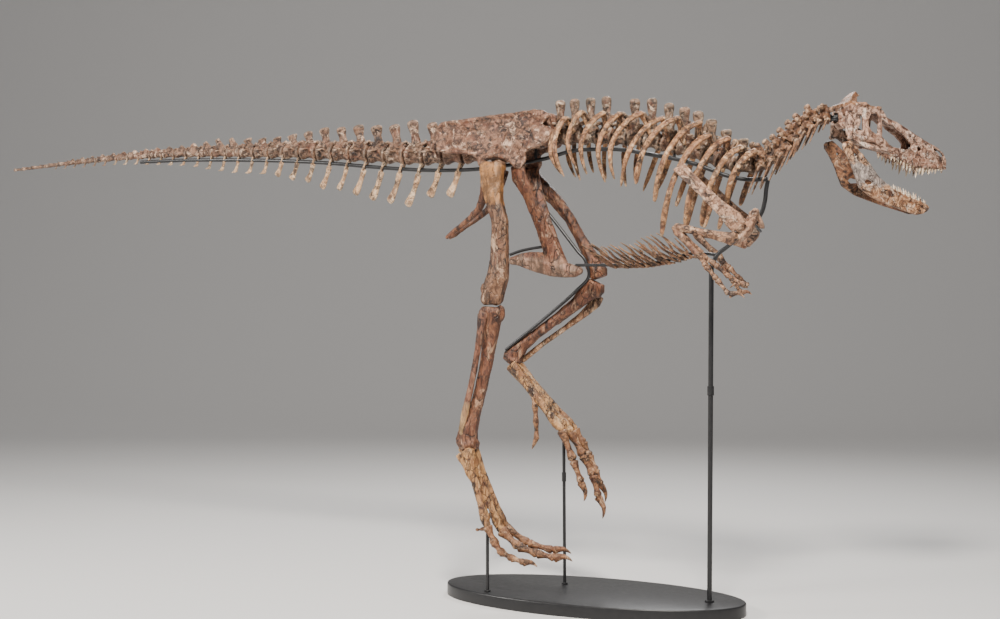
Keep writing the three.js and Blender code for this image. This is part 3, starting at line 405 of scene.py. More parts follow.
TAIL_LINE, TAIL_SPAN = spline([
    (-640, 0, 2487), (-1024, 0, 2489), (-1495, 0, 2525), (-1852, 6, 2551), (-2300, 38, 2572),
    (-2656, 73, 2588), (-3166, 132, 2598), (-3696, 202, 2590), (-4401, 302, 2570)], 2001)
TAIL_RADIUS = [(-4401, 8), (-3696, 14), (-3166, 20), (-2419, 30), (-1852, 43), (-1394, 50), (-640, 55)]
TAIL_SPINE = [
    (-4300, 14), (-3700, 25), (-3200, 36), (-2765, 47), (-2648, 62), (-2419, 92), (-2308, 90), (-2083, 84),
    (-1871, 112), (-1780, 130), (-1612, 152), (-1407, 166), (-1287, 160), (-1144, 180), (-1079, 205),
    (-1000, 190), (-640, 185)]
CHEVRON_DROP = [
    (-4300, 17), (-3700, 34), (-3100, 54), (-2700, 78), (-2471, 105), (-2276, 128), (-2023, 136),
    (-1838, 163), (-1605, 209), (-1394, 236), (-1270, 250), (-1167, 278), (-1056, 290), (-888, 225)]
TAIL_COUNT = 35
CLUBBED_SPINES = 14      # vertebrae with a thick-topped spine
ALL_SPINES = 29          # vertebrae with any spine
SIDE_PROCESSES = 16
CLUBBED_CHEVRONS = 12
LENGTHS = np.array([lerp(124, 86, i / (TAIL_COUNT - 1)) for i in range(TAIL_COUNT)])
JOINTS = np.concatenate([[0], np.cumsum(LENGTHS)]) / LENGTHS.sum()


def tail_at(share):
    return on_line(TAIL_LINE, share)


def tail(first, last):
    def add(bm):
        rng = np.random.default_rng(100 + first)
        for i in range(first, last):
            a, b = JOINTS[i], JOINTS[i + 1]
            x, y, z = tail_at((a + b) / 2)
            length = LENGTHS[i] * TAIL_SPAN / LENGTHS.sum()
            r = table(TAIL_RADIUS, x)
            centrum(bm, lambda f: tail_at(lerp(a, b, f)), r)
            top = table(TAIL_SPINE, x) * rng.uniform(0.95, 1.04)
            lean = (-0.12 if i < CLUBBED_SPINES else -0.35) * top
            ball(bm, (x, y, z + r * 0.95), (length * 0.30, r * 0.46, r * 0.42))
            if i < CLUBBED_SPINES:
                spine(bm, (x + 0.06 * length, y, z + r * 0.8), (x + lean, y, z + top), length * 0.34,
                      length * 0.205, length * rng.uniform(0.27, 0.33), max(7, r * 0.3))
            elif i < ALL_SPINES:
                loft(bm, [[x + 0.1 * length, y, z + r * 0.8, length * 0.24, r * 0.3],
                          [x + lean * 0.6, y, z + lerp(r, top, 0.6), length * 0.2, r * 0.2],
                          [x + lean, y, z + top, length * 0.16, r * 0.2]], 10)
            for s in (-1, 1):
                v = rng.uniform(0.85, 1.15)
                for rows in (((-0.05, 0.30, 0.85, 1, 0.3, 0.22), (0.28, 0.46, 1.10, 1, 0.24, 0.17),
                              (0.62, 0.42, 1.38, v, 0.15, 0.12)),
                             ((-0.1, 0.2, 1, 1, 0.25, 0.16), (-0.5, 0.2, 1.5, v, 0.16, 0.12))):
                    loft(bm, [[x + f * length, y + s * r * g, z + r * h * vary, r * wide, r * tall]
                              for f, g, h, vary, wide, tall in rows], 8, (0, 0, 1))
                if i < SIDE_PROCESSES:
                    reach = lerp(98, 26, i / 15) * v
                    rows = ((0, 0, 0.40, 0.20, 0.22), (6, 0.5, 0.36, 0.12, 0.13), (14, 1, 0.2, 0.15, 0.10))
                    curved(bm, [[x - d, y + s * (r * 0.5 + reach * f), z + r * h, wide * length, r * tall]
                                for d, f, h, wide, tall in rows], 6, 10)
    return add


def chevrons(first, last):
    """The haemal arches: two roots below each joint, a shaft and a clubbed or sledge-shaped foot."""
    def add(bm):
        rng = np.random.default_rng(200 + first)
        for i in range(first, last):
            x, y, z = tail_at(lerp(JOINTS[i], JOINTS[i + 1], 0.12))
            r = table(TAIL_RADIUS, x)
            drop = table(CHEVRON_DROP, x) * rng.uniform(0.95, 1.04)
            back = (0.36 if i < 18 else 0.5) * drop
            size = lerp(1.0, 0.32, min(1, i / 30))
            neck = r + (drop - r) * 0.28
            for s in (-1, 1):
                loft(bm, [[x, y + s * r * 0.42, z - r * 0.72, 10 * size, 8 * size],
                          [x - back * 0.4, y + s * 3, z - neck, 9 * size, 7 * size]], 8)
            if i < CLUBBED_CHEVRONS:
                wide = 1.35 * size * rng.uniform(0.88, 1.12)
                rows = ((0.30, z - neck + 12, 17, 11), (0.58, z - lerp(neck, drop, 0.45), 13, 10),
                        (0.84, z - lerp(neck, drop, 0.78), 19, 11),
                        (0.98, z - lerp(neck, drop, 0.93), 21, 10), (1.06, z - drop, 13, 6))
                curved(bm, [[x - back * f, y, h, a * wide, b * size] for f, h, a, b in rows], 14, 12)
            else:
                loft(bm, [[x - back * 0.30, y, z - neck + 6, 19 * size, 9 * size],
                          [x - back * 0.55, y, z - lerp(neck, drop, 0.5), 15 * size, 8 * size],
                          [x - back * 0.8, y, z - drop + 8 * size, 24 * size, 7 * size]], 10)
                rows = ((24, 14, 6, 5), (0, 8, 12, 8), (-44, 2, 5, 4))
                curved(bm, [[x - back * 0.8 + f * size, y, z - drop + h * size, a * size, b * size]
                            for f, h, a, b in rows], 8, 10, (0, 0, 1))
    return add


DORSAL_LINE = [(-226, 2550), (-97, 2556), (3, 2551), (107, 2540), (239, 2528), (346, 2507), (452, 2480),
               (540, 2455), (611, 2431), (676, 2404), (762, 2371), (853, 2352), (905, 2350)]
DORSALS = [(-178, 2756), (-93, 2760), (0, 2760), (92, 2762), (170, 2672), (254, 2739), (351, 2736),
           (446, 2703), (532, 2677), (606, 2652), (678, 2606), (758, 2549), (850, 2496)]
RIBS = [
    (-170, 2590, -134, 2340, 125), (-122, 2645, -112, 2323, 142), (-25, 2672, -36, 2362, 152),
    (99, 2659, 30, 2328, 175), (193, 2650, 142, 2279, 195), (315, 2646, 195, 2294, 205),
    (434, 2613, 234, 2253, 212), (516, 2609, 317, 2262, 216), (633, 2580, 421, 2167, 220),
    (686, 2513, 457, 1986, 212), (787, 2490, 582, 2047, 203), (856, 2440, 666, 2033, 188),
    (930, 2418, 792, 2155, 152)]
RIB_SPREAD = 84


def trunk(bm):
    rng = np.random.default_rng(41)
    ends = [-226] + [(DORSALS[i][0] + DORSALS[i + 1][0]) / 2 for i in range(12)] + [905]
    for i, (x, top) in enumerate(DORSALS):
        a, b = ends[i], ends[i + 1]
        z = table(DORSAL_LINE, x)
        r = lerp(48, 40, i / 12)
        centrum(bm, lambda f: (lerp(a, b, f), 0, table(DORSAL_LINE, lerp(a, b, f))), r)
        ball(bm, (x, 0, z + r * 0.95), ((b - a) * 0.40, 27, 34))
        spine(bm, (x, 0, z + 44), (x - 6, 0, top), 33, 21, 30 * rng.uniform(0.9, 1.05), 13)
        ball(bm, (x - 6 + rng.uniform(-8, 8), rng.uniform(-4, 4), top - 20), (22, 17, 17))
        for s in (-1, 1):
            loft(bm, [[x - 4, s * 13, z + 52, 13, 11], [x + 46, s * 20, z + 70, 9, 7]], 8, (0, 0, 1))
            loft(bm, [[x - 4, s * 13, z + 62, 12, 9], [x - 48, s * 17, z + 80, 9, 7]], 8, (0, 0, 1))
            root_x, root_z = min(RIBS, key=lambda q: abs(q[0] - x))[:2]
            curved(bm, [[x, s * 12, z + 54, 24, 16],
                        [lerp(x, root_x, 0.4), s * 46, lerp(z + 60, root_z, 0.6), 17, 9],
                        [lerp(x, root_x, 0.8), s * 78, root_z + 4, 15, 9]], 7, 10)


def ribs(side):
    def add(bm):
        rng = np.random.default_rng(60 + side)
        for i, (root_x, root_z, tip_x, tip_z, bow) in enumerate(RIBS):
            nearest = min(DORSALS, key=lambda q: abs(q[0] - root_x))[0]
            back = 44 if i < 6 else 10
            size = lerp(0.95, 1.18, min(1, i / 8))
            ends = (11, 7.5, 4) if i < 7 else (14.5, 12, 7)

            def at(t, reach, wide, thick):
                return [lerp(root_x, tip_x, t ** 0.6) - back * math.sin(math.pi * t), side * reach,
                        lerp(root_z, tip_z, t), wide * size, thick * size]

            curved(bm, [[root_x + 4, side * (RIB_SPREAD - 6), root_z + 4, 20 * size, 12],
                        at(0.06, lerp(RIB_SPREAD, bow, 0.3), 19, 11),
                        at(0.17, lerp(RIB_SPREAD, bow, 0.62), 16, 10),
                        at(0.34, lerp(RIB_SPREAD, bow, 0.88), 14, 9.5), at(0.56, bow, 14, 9.5),
                        at(0.80, bow * 0.93, ends[0] * rng.uniform(0.9, 1.1), 8.5),
                        at(0.94, bow * 0.85, ends[1], 6.5), at(1, bow * 0.82, ends[2], 4.5)], 26, 12)
            z = table(DORSAL_LINE, nearest)
            curved(bm, [[nearest + 6, side * 34, z + 14, 12, 9],
                        [lerp(nearest, root_x, 0.6), side * 62, lerp(z + 30, root_z, 0.55), 11, 8],
                        [root_x, side * (RIB_SPREAD - 2), root_z - 12, 16, 10]], 8, 10)
    return add


NECK_LINE = spline([
    (907, 1, 2350), (940, 4, 2357), (995, 15, 2390), (1050, 31, 2436), (1090, 50, 2484), (1137, 68, 2531),
    (1183, 90, 2574), (1225, 108, 2591), (1264, 125, 2590)], 901)[0]
NECK_COUNT = 9
NECK_SPINE = [128, 112, 104, 98, 96, 94, 92, 92, 70]


def neck_at(f):
    """The neck's axis, f vertebrae from its rear end."""
    return Vector(on_line(NECK_LINE, f / NECK_COUNT))


def neck(first, last):
    def add(bm):
        rng = np.random.default_rng(300 + first)
        for i in range(first, last):
            mid = neck_at(i + 0.5)
            t = (neck_at(i + 0.6) - neck_at(i + 0.4)).normalized()
            right = Vector((t.y, -t.x, 0)).normalized()
            up = right.cross(t).normalized()
            centrum(bm, lambda f: neck_at(i + f), lerp(38, 31, i / NECK_COUNT), tuple(right))
            arch = mid + up * 36
            loft(bm, [[*(arch - up * 18), 27, 27], [*(arch + up * 22), 23, 21]], 12, tuple(t))
            crown = mid + up * NECK_SPINE[i] - t * (0.12 * NECK_SPINE[i])
            loft(bm, [[*arch, 21, 17], [*arch.lerp(crown, 0.5), 15, 11], [*arch.lerp(crown, 0.82), 19, 14],
                      [*arch.lerp(crown, 0.95), 15, 12], [*crown, 7, 6]], 10, tuple(t))
            long = 60 if i == NECK_COUNT - 1 else lerp(150, 120, i / 8)
            for s in (-1, 1):
                v = rng.uniform(0.9, 1.15)
                side = right * s
                front = arch + side * 40 + up * 6 + t * 30
                rear = arch + side * 42 + up * (26 * v) - t * 30
                wing = mid + side * 56 - up * 6 - t * 4
                loft(bm, [[*(arch + side * 12), 15, 11], [*front, 15, 11]], 8, tuple(up))
                loft(bm, [[*(arch + side * 12 + up * 4), 15, 11], [*rear, 15, 11]], 8, tuple(up))
                loft(bm, [[*(mid + side * 14 + up * 18), 20, 13], [*wing, 15, 11]], 8, tuple(t))
                loft(bm, [[*(mid + side * 26 - up * 14), 12, 9], [*(wing - up * 12), 11, 8]], 8, tuple(t))
                bend = mid + side * 56 - up * 14
                tip = bend + Vector((-0.36 * long, -0.12 * long, -0.92 * long))
                loft(bm, [[*(bend + t * 18), 9, 8], [*bend, 15, 9], [*bend.lerp(tip, 0.5), 10, 6.5],
                          [*tip, 4.5, 3.5]], 8, tuple(right))
    return add


# Digits: width of the first and the last bone, and the joints between them


TOES = {
    "toe_2_right": (27, 17, [(-454, -130, 414), (-323, -121, 333), (-180, -117, 306), (-69, -115, 290)]),
    "toe_3_right": (29, 18, [(-460, -176, 402), (-356, -176, 321), (-245, -176, 290), (-145, -176, 277),
                             (-39, -176, 262)]),
    "toe_4_right": (26, 16, [(-520, -226, 426), (-474, -231, 342), (-432, -234, 294), (-370, -237, 267),
                             (-300, -238, 251), (-217, -238, 229)]),
    "toe_2_left": (27, 17, [(-228, 128, 934), (-157, 122, 770), (-108, 120, 652), (-93, 120, 545)]),
    "toe_3_left": (29, 18, [(-194, 176, 920), (-120, 176, 796), (-62, 176, 688), (-28, 176, 572),
                            (-5, 176, 446)]),
    "toe_4_left": (26, 16, [(-188, 226, 930), (-142, 230, 862), (-104, 232, 790), (-66, 234, 710),
                            (-36, 234, 632), (-12, 234, 530)]),
}
FINGERS = {
    -1: [(18, 13, [(676, -236, 1888), (715, -240, 1830), (772, -242, 1762), (836, -242, 1684),
                   (918, -240, 1664)]),
         (17, 12, [(682, -224, 1890), (756, -219, 1838), (830, -214, 1772), (914, -212, 1732),
                   (830, -212, 1712)])],
    1: [(18, 13, [(646, 238, 1888), (676, 240, 1828), (716, 241, 1768), (764, 240, 1700), (826, 238, 1684)]),
        (17, 12, [(652, 224, 1890), (706, 226, 1832), (756, 230, 1778), (806, 232, 1738), (730, 230, 1716)])],
}


def digit(bm, thick, thin, points, bend=0.16):
    """Finger or toe bones end to end, with pulley-shaped knuckles, ending in a curved claw."""
    p = [np.array(q, float) for q in points]
    count = len(p) - 1
    for i in range(count):
        r = lerp(thick, thin, i / count)
        a, b = p[i], p[i + 1]
        along = (b - a) / np.linalg.norm(b - a)
        under = np.cross(along, (0, 1, 0))
        under = under if under[2] < 0 else -under
        if i < count - 1:
            start = 0.04 if i else 0.0
            shape = ((start, 0.86, 0.90), (start + 0.05, 1.08, 1.16), (0.22, 0.88, 0.92), (0.45, 0.66, 0.66),
                     (0.66, 0.64, 0.62), (0.82, 0.92, 0.86), (0.92, 1.06, 1.0), (0.985, 0.84, 0.76))
            loft(bm, [[*lerp(a, b, f), r * w, r * h] for f, w, h in shape], 14, (0, 1, 0))
            knuckle = lerp(a, b, 0.90)
            for s in (-1, 1):
                ball(bm, knuckle + np.array((0, s * r * 0.62, 0)), (r * 0.72, r * 0.42, r * 0.78))
        else:
            long = np.linalg.norm(b - a)
            arch = -under * long * bend
            shape = ((0.05, 0.0, 0.72, 0.95), (0.14, 0.2, 0.78, 1.12), (0.30, 0.62, 0.60, 0.92),
                     (0.52, 1.0, 0.46, 0.70), (0.74, 0.8, 0.34, 0.48), (0.90, 0.40, 0.20, 0.28),
                     (1.0, 0.0, 0.08, 0.10))
            loft(bm, [[*(lerp(a, b, f) + arch * k), r * w, r * h] for f, k, w, h in shape], 12, (0, 1, 0))
            ball(bm, lerp(a, b, 0.12) + under * r * 0.7, (r * 0.5, r * 0.5, r * 0.5))
        if i:
            ends = (lerp(p[i - 1], a, 0.9), lerp(a, b, 0.12))
            loft(bm, [[*q, r * 0.5, r * 0.5] for q in ends], 10, (0, 1, 0))


def toe(name):
    return lambda bm: digit(bm, *TOES[name])


def hand(side):
    def add(bm):
        for thick, thin, points in FINGERS[side]:
            digit(bm, thick, thin, points, 0.2)
        a, b = FINGERS[side][0][2][0], FINGERS[side][1][2][0]
        for f, r in ((0.0, 16), (0.5, 15), (1.0, 15)):
            ball(bm, [lerp(a[k], b[k], f) for k in range(3)], (r, r, r))
    return add


BELLY_LINE = [(118, 1836), (300, 1836), (440, 1856), (550, 1884)]
BELLY_ROWS = 16


def gastralia(bm):
    """Belly ribs: slender V shapes, each arm of an inner and an outer rod."""
    rng = np.random.default_rng(9)
    for i in range(BELLY_ROWS):
        for side in (-1, 1):
            x = 112 + i * 30 + rng.uniform(-7, 7)
            z = table(BELLY_LINE, x)
            reach = rng.uniform(0.8, 1.12)
            v = rng.uniform(-7, 7, 4)
            curved(bm, [[x + 34, -side * 14, z - 3 + v[3] * 0.5, 5, 4], [x + 6, side * 8, z + 2, 8.5, 6.5],
                        [x - 34 + v[1], side * 40, z + 30, 8, 6.5],
                        [x - 66 + v[0], side * 70, z + 54 + v[1], 7, 6],
                        [x - 100 * reach + v[2], side * 104, z + 86 * reach, 6, 5],
                        [x - 132 * reach, side * 124 * reach, z + 112 * reach, 3.5, 3]], 16, 8)


# Head. Head space has u forward, w sideways to the animal's right and z up.

YAW = math.radians(40)
ROLL = math.sin(math.radians(7))
ALONG = Vector((math.cos(YAW), math.sin(YAW), 0))
ACROSS = Vector((math.sin(YAW), -math.cos(YAW), 0))
SKULL_WIDTH = [(-20, 96), (130, 96), (200, 84), (270, 68), (360, 54), (480, 44), (580, 34), (620, 22)]
JAW_WIDTH = [(-20, 98), (120, 88), (240, 66), (380, 42), (470, 27), (520, 14)]
SNOUT_TOP = [(240, 2600), (264, 2584), (321, 2564), (383, 2534), (451, 2492), (520, 2462), (562, 2444)]

# Raised bars: how far they stand out of the wall, then (u, z, radius) along each
SKULL_RIDGES = [
    (5, [(140, 2650, 11), (134, 2610, 8), (132, 2560, 7), (134, 2510, 9), (126, 2474, 11)]),
    (5, [(206, 2632, 13), (216, 2590, 9), (214, 2540, 8), (214, 2500, 9), (222, 2466, 11)]),
    (5, [(30, 2646, 11), (44, 2600, 11), (50, 2556, 11), (40, 2510, 12), (28, 2490, 13)]),
    (5, [(44, 2492, 11), (96, 2484, 12), (150, 2478, 12), (200, 2462, 12), (250, 2436, 11), (300, 2416, 9)]),
    (5, [(290, 2410, 8), (363, 2380, 9), (433, 2358, 9), (518, 2352, 9), (604, 2346, 8)]),
    (0, [(236, 2624, 11), (264, 2586, 9), (321, 2568, 8), (383, 2533, 8), (451, 2493, 8), (520, 2460, 8),
         (578, 2438, 7)]),
    (4, [(300, 2436, 6), (352, 2424, 6), (400, 2424, 7), (424, 2446, 7), (412, 2474, 6), (372, 2512, 6),
         (326, 2542, 6)]),
    (2, [(50, 2652, 11), (90, 2654, 12), (132, 2656, 13), (164, 2644, 11), (206, 2636, 13)]),
    (3, [(524, 2440, 6), (520, 2420, 6), (540, 2404, 6), (590, 2386, 6), (614, 2380, 6)]),
]
JAW_RIDGES = [
    (4, [(4, 2446, 12), (40, 2436, 12), (78, 2404, 10), (130, 2352, 10), (200, 2284, 9), (250, 2246, 9)]),
    (4, [(24, 2400, 10), (58, 2330, 9), (84, 2264, 10), (120, 2222, 10), (180, 2190, 10), (280, 2156, 9),
         (380, 2126, 9), (470, 2112, 9)]),
    (4, [(262, 2234, 9), (330, 2204, 10), (400, 2176, 10), (470, 2156, 10), (516, 2140, 10)]),
    (5, [(180, 2256, 7), (226, 2216, 7), (250, 2184, 7), (262, 2160, 7)]),
]


def head(u, w, z):
    q = Vector((1290, 140, z + (75 - w) * ROLL)) + ALONG * u + ACROSS * w
    return [q.x, q.y, q.z]


def skull_wall(u, z):
    rise = min(1, max(0, (z - 2420) / 260))
    return table(SKULL_WIDTH, u) * (1 - 0.42 * rise)


def jaw_wall(u, z):
    return table(JAW_WIDTH, u)


def bars(bm, side, rows, wall):
    for out, points in rows:
        stations = [[*head(u, side * (wall(u, z) + out), z), r * 0.75, r] for u, z, r in points]
        curved(bm, stations, 4 * len(points), 10, tuple(ACROSS))


def skull(bm):
    for s in (-1, 1):
        bars(bm, s, SKULL_RIDGES, skull_wall)
        ball(bm, head(126, s * 66, 2658), (20, 14, 12))
        ball(bm, head(214, s * 52, 2642), (22, 12, 11))
        ball(bm, head(30, s * 96, 2484), (17, 16, 14))
    for u, z, r in ((93, 2704, 11), (109, 2710, 10), (129, 2706, 8), (78, 2680, 14), (60, 2656, 16)):
        ball(bm, head(u, 0, z), (r, r, r))
    for u in range(256, 560, 27):
        ball(bm, head(u, 0, table(SNOUT_TOP, u)), (17, 14, 7))


def jaw(side):
    def add(bm):
        bars(bm, side, JAW_RIDGES, jaw_wall)
        ball(bm, head(2, side * 98, 2444), (17, 15, 15))
        ball(bm, head(500, side * 20, 2126), (22, 12, 18))
    return add


def seeded(seed):
    """The same repeatable series that set the tooth lengths of the solids."""
    state = [seed]

    def step():
        state[0] = (state[0] * 1664525 + 1013904223) % 4294967296
        return state[0] / 4294967296
    return step


# A row of teeth: first and last place, count, step to the smaller tooth in each gap, share of its length
# there, widths of both, direction (1 is down), width of the jaw, line of the gums, lengths
UPPER = (286, 598, 9, 19.5, (0.8, 0.55), (9.5, 8), 1, SKULL_WIDTH,
         [(286, 2402), (363, 2368), (433, 2345), (518, 2339), (624, 2334)],
         [(286, 28), (337, 45), (380, 52), (430, 61), (512, 43), (598, 22)])
LOWER = (272, 500, 8, 16.3, (0.55, 0.8), (8.5, 7), -1, JAW_WIDTH,
         [(280, 2233), (368, 2198), (458, 2164), (518, 2149)],
         [(272, 24), (326, 38), (367, 43), (435, 42), (500, 28)])
TOOTH_ROOT = 12          # mm of each tooth inside the jaw


def fang(bm, u, w, root, length, thick, rake):
    """A curved tooth from its gum line; length is negative for a tooth that points up."""
    rows = ((0.0, 0.0, 1.0), (0.3, 0.08, 0.9), (0.6, 0.32, 0.66), (0.85, 0.70, 0.34), (1.0, 1.0, 0.08))
    loft(bm, [[*head(u + rake * k, w, root - length * f), thick * q, thick * 0.68 * q] for f, k, q in rows],
         10, tuple(ALONG))


def teeth(bm, side, random, first, last, count, step, shares, thick, down, widths, gums, lengths):
    for i in range(count):
        u = lerp(first, last, i / (count - 1))
        row = [(u, table(lengths, u) * lerp(0.85, 1.12, random()), thick[0])]
        if i < count - 1:
            row.append((u + step, table(lengths, u + step) * shares[i % 2], thick[1]))
        for at, long, wide in row:
            fang(bm, at, side * table(widths, at), table(gums, at) + down * TOOTH_ROOT,
                 down * (long + TOOTH_ROOT), wide, -long * 0.2)


def upper_teeth(bm):
    random = seeded(23)
    for side in (-1, 1):
        teeth(bm, side, random, *UPPER)


def lower_teeth(side):
    return lambda bm: teeth(bm, side, seeded(91 if side > 0 else 47), *LOWER)


# Limbs and girdles: lumps and ridges that join the copied solids

def lumps(*shapes):
    """(x, y, z, rx, ry, rz) is a swelling; a list of stations is a ridge."""
    def add(bm):
        for q in shapes:
            if isinstance(q, list):
                curved(bm, q, 4 * len(q), 10)
            else:
                ball(bm, q[:3], q[3:])
    return add


def ilium(side):
    def at(z):
        return side * (lerp(112, 66, min(1, max(0, (z - 2400) / 290))) + 15)

    def line(points):
        return [[x, at(z), z, r, r * 0.8] for x, z, r in points]

    return lumps(
        line([(-398, 2398, 14), (-430, 2428, 15), (-480, 2452, 16), (-536, 2460, 16), (-590, 2444, 15),
              (-616, 2416, 13)]),
        line([(-480, 2470, 16), (-462, 2540, 12), (-430, 2620, 11), (-410, 2682, 12)]),
        line([(-900, 2610, 10), (-872, 2650, 12), (-763, 2660, 12), (-611, 2672, 12), (-440, 2682, 13),
              (-300, 2690, 14), (-240, 2680, 15)]),
        line([(-890, 2520, 11), (-850, 2498, 12), (-760, 2490, 12), (-680, 2480, 12), (-640, 2462, 13)]),
        line([(-330, 2492, 11), (-270, 2505, 12), (-215, 2550, 13)]),
        line([(-300, 2640, 10), (-360, 2610, 8), (-420, 2596, 7)]),
        line([(-640, 2500, 9), (-720, 2560, 8), (-820, 2610, 7)]),
        line([(-262, 2522, 8), (-300, 2560, 7), (-290, 2610, 7), (-250, 2626, 8)]),
        line([(-560, 2560, 8), (-600, 2600, 9), (-680, 2626, 8), (-740, 2622, 6)]),
        line([(-470, 2640, 7), (-540, 2648, 8), (-600, 2640, 6)]),
        (-262, at(2664), 2666, 58, 15, 27), (-232, at(2560), 2560, 32, 14, 40),
        (-380, at(2530), 2530, 34, 12, 44), (-520, at(2520), 2520, 40, 9, 30),
        (-790, at(2560), 2560, 46, 9, 36), (-690, at(2530), 2532, 30, 8, 24))


def sacrum(bm):
    for i in range(5):
        x = -634 + i * 81
        z = 2500 + i * 10
        for s in (-1, 1):
            loft(bm, [[x + 30, s * 6, z + 96, 18, 12], [x + 28, s * 58, z + 108, 20, 9]], 8)
        ball(bm, (x + 30, 0, 2664 + i * 3), (36, 13, 12))


EXTRAS = {
    "sacrum": sacrum,
    "ilium_right": ilium(-1),
    "ilium_left": ilium(1),
    "pubis": lumps(
        (-388, 88, 2325, 42, 22, 38), (-388, -88, 2325, 42, 22, 38), (-290, 0, 1868, 50, 34, 56),
        (-180, 0, 1830, 60, 36, 40), (-75, 0, 1820, 28, 22, 24)),
    "ischium_right": lumps(
        (-590, -92, 2345, 32, 20, 38), (-622, -66, 2232, 30, 10, 30), (-640, -60, 2196, 26, 9, 20),
        (-690, -46, 2150, 22, 9, 14)),
    "ischium_left": lumps((-590, 92, 2345, 32, 20, 38), (-640, 62, 2200, 22, 9, 18)),
    "femur_right": lumps(
        (-560, -178, 2386, 28, 32, 40), (-474, -178, 2330, 24, 22, 46), (-552, -180, 1668, 26, 44, 38),
        (-486, -180, 1662, 30, 44, 34), (-566, -168, 1722, 20, 26, 34), (-444, -176, 2090, 12, 20, 60),
        [[-560, -176, 2320, 12, 14], [-536, -184, 2220, 9, 10], [-508, -184, 2080, 8, 9],
         [-512, -184, 1940, 8, 9]]),
    "hallux_right": lumps((-634, -114, 386, 13, 9, 10)),
    "femur_left": lumps(
        (-470, 176, 2330, 34, 32, 36), (-60, 178, 1824, 30, 40, 28), (-8, 176, 1812, 22, 44, 28),
        [[-430, 180, 2340, 12, 12], [-310, 186, 2226, 8, 9], [-190, 184, 2090, 7, 8]]),
    "metatarsus_right": lumps(
        (-454, -130, 424, 24, 19, 25), (-463, -176, 414, 27, 21, 28), (-522, -226, 437, 23, 18, 24),
        (-640, -200, 836, 32, 26, 20), (-690, -176, 832, 30, 26, 20),
        [[-712, -216, 806, 9, 7], [-682, -219, 769, 9, 7], [-642, -220, 718, 5, 4]],
        [[-640, -196, 800, 10, 9], [-590, -200, 680, 8, 7], [-530, -196, 520, 9, 8]]),
    "metatarsus_left": lumps(
        (-233, 128, 946, 22, 18, 24), (-200, 176, 932, 26, 19, 26), (-194, 226, 941, 22, 17, 24)),
    "tibia_right": lumps(
        (-470, -160, 1588, 26, 30, 48), (-566, -172, 1592, 26, 42, 26), (-698, -180, 876, 30, 44, 32),
        (-624, -180, 874, 28, 40, 30), (-650, -200, 940, 30, 16, 50),
        [[-474, -176, 1570, 12, 14], [-490, -186, 1500, 9, 10], [-520, -190, 1380, 8, 9]]),
    "tibia_left": lumps(
        (-26, 166, 1706, 26, 34, 34), (-80, 174, 1736, 26, 42, 24), (-580, 176, 1350, 22, 40, 28),
        (-522, 176, 1314, 24, 38, 26),
        [[-70, 200, 1680, 12, 12], [-160, 196, 1610, 8, 9], [-280, 194, 1525, 7, 8]]),
    "fibula_right": lumps((-548, -224, 1576, 26, 13, 22), (-682, -212, 930, 16, 12, 18)),
    "fibula_left": lumps((-58, 224, 1652, 26, 13, 22), (-500, 210, 1322, 14, 11, 14)),
    "scapula_right": lumps(
        (880, -232, 2030, 34, 20, 30), (856, -246, 2076, 26, 14, 24), (900, -188, 2000, 32, 26, 24),
        [[600, -246, 2326, 8, 6], [700, -262, 2226, 8, 7], [800, -262, 2130, 10, 8]]),
    "scapula_left": lumps(
        (820, 232, 2030, 34, 20, 30), (796, 246, 2076, 26, 14, 24), (840, 188, 2000, 32, 26, 24)),
    "humerus_right": lumps(
        (862, -232, 1976, 20, 20, 24), (814, -244, 1962, 30, 12, 16), (562, -234, 2036, 18, 20, 15),
        (560, -234, 2014, 16, 18, 13)),
    "humerus_left": lumps(
        (802, 232, 1976, 20, 20, 24), (754, 244, 1962, 30, 12, 16), (517, 234, 2036, 18, 20, 15)),
    "forearm_right": lumps((556, -240, 2018, 18, 17, 18), (682, -234, 1888, 18, 16, 16)),
    "forearm_left": lumps((512, 240, 2018, 18, 17, 18), (650, 234, 1888, 18, 16, 16)),
}

# Copied bones: nodes, voxel mm, material, slot, roughness, smoothing
COPIED = [
    ("sacrum", 5.0, HIP, "bone_hip", 1.0, 4),
    ("ilium_right ilium_left", 4.6, HIP, "bone_hip", 1.5, 5),
    ("pubis", 4.5, BOOT, "bone_hip", 1.1, 6),
    ("ischium_right ischium_left", 4.5, PUBIS, "bone_hip", 1.0, 6),
    ("femur_right", 4.4, FEMUR, "bone_leg", 1.2, 9),
    ("femur_left", 4.4, PUBIS, "bone_leg", 1.2, 9),
    ("tibia_right tibia_left", 4.4, SHIN, "bone_leg", 1.1, 8),
    ("fibula_right", 3.6, FIBULA, "bone_leg", 0.8, 6),
    ("fibula_left", 3.6, SPLINT, "bone_leg", 0.8, 6),
    ("metatarsus_right metatarsus_left", 3.6, FOOT, "bone_foot", 0.9, 4),
    ("hallux_right hallux_left", 3.0, TOE, "bone_foot", 0.6, 4),
    ("scapula_right scapula_left", 3.8, SHOULDER, "bone_trunk", 0.9, 4),
    ("furcula", 3.4, SHOULDER, "bone_trunk", 0.5, 4),
    ("humerus_right humerus_left", 3.4, ARM, "bone_leg", 0.8, 5),
    ("forearm_right forearm_left", 3.2, ARM, "bone_leg", 0.7, 3),
]
seed = 7
for names, voxel, material, slot, rough, smooth in COPIED:
    for node in names.split():
        bone_piece(node + "_bone", voxel, material, slot, seed, rough, smooth, EXTRAS.get(node), (node,))
        seed += 5

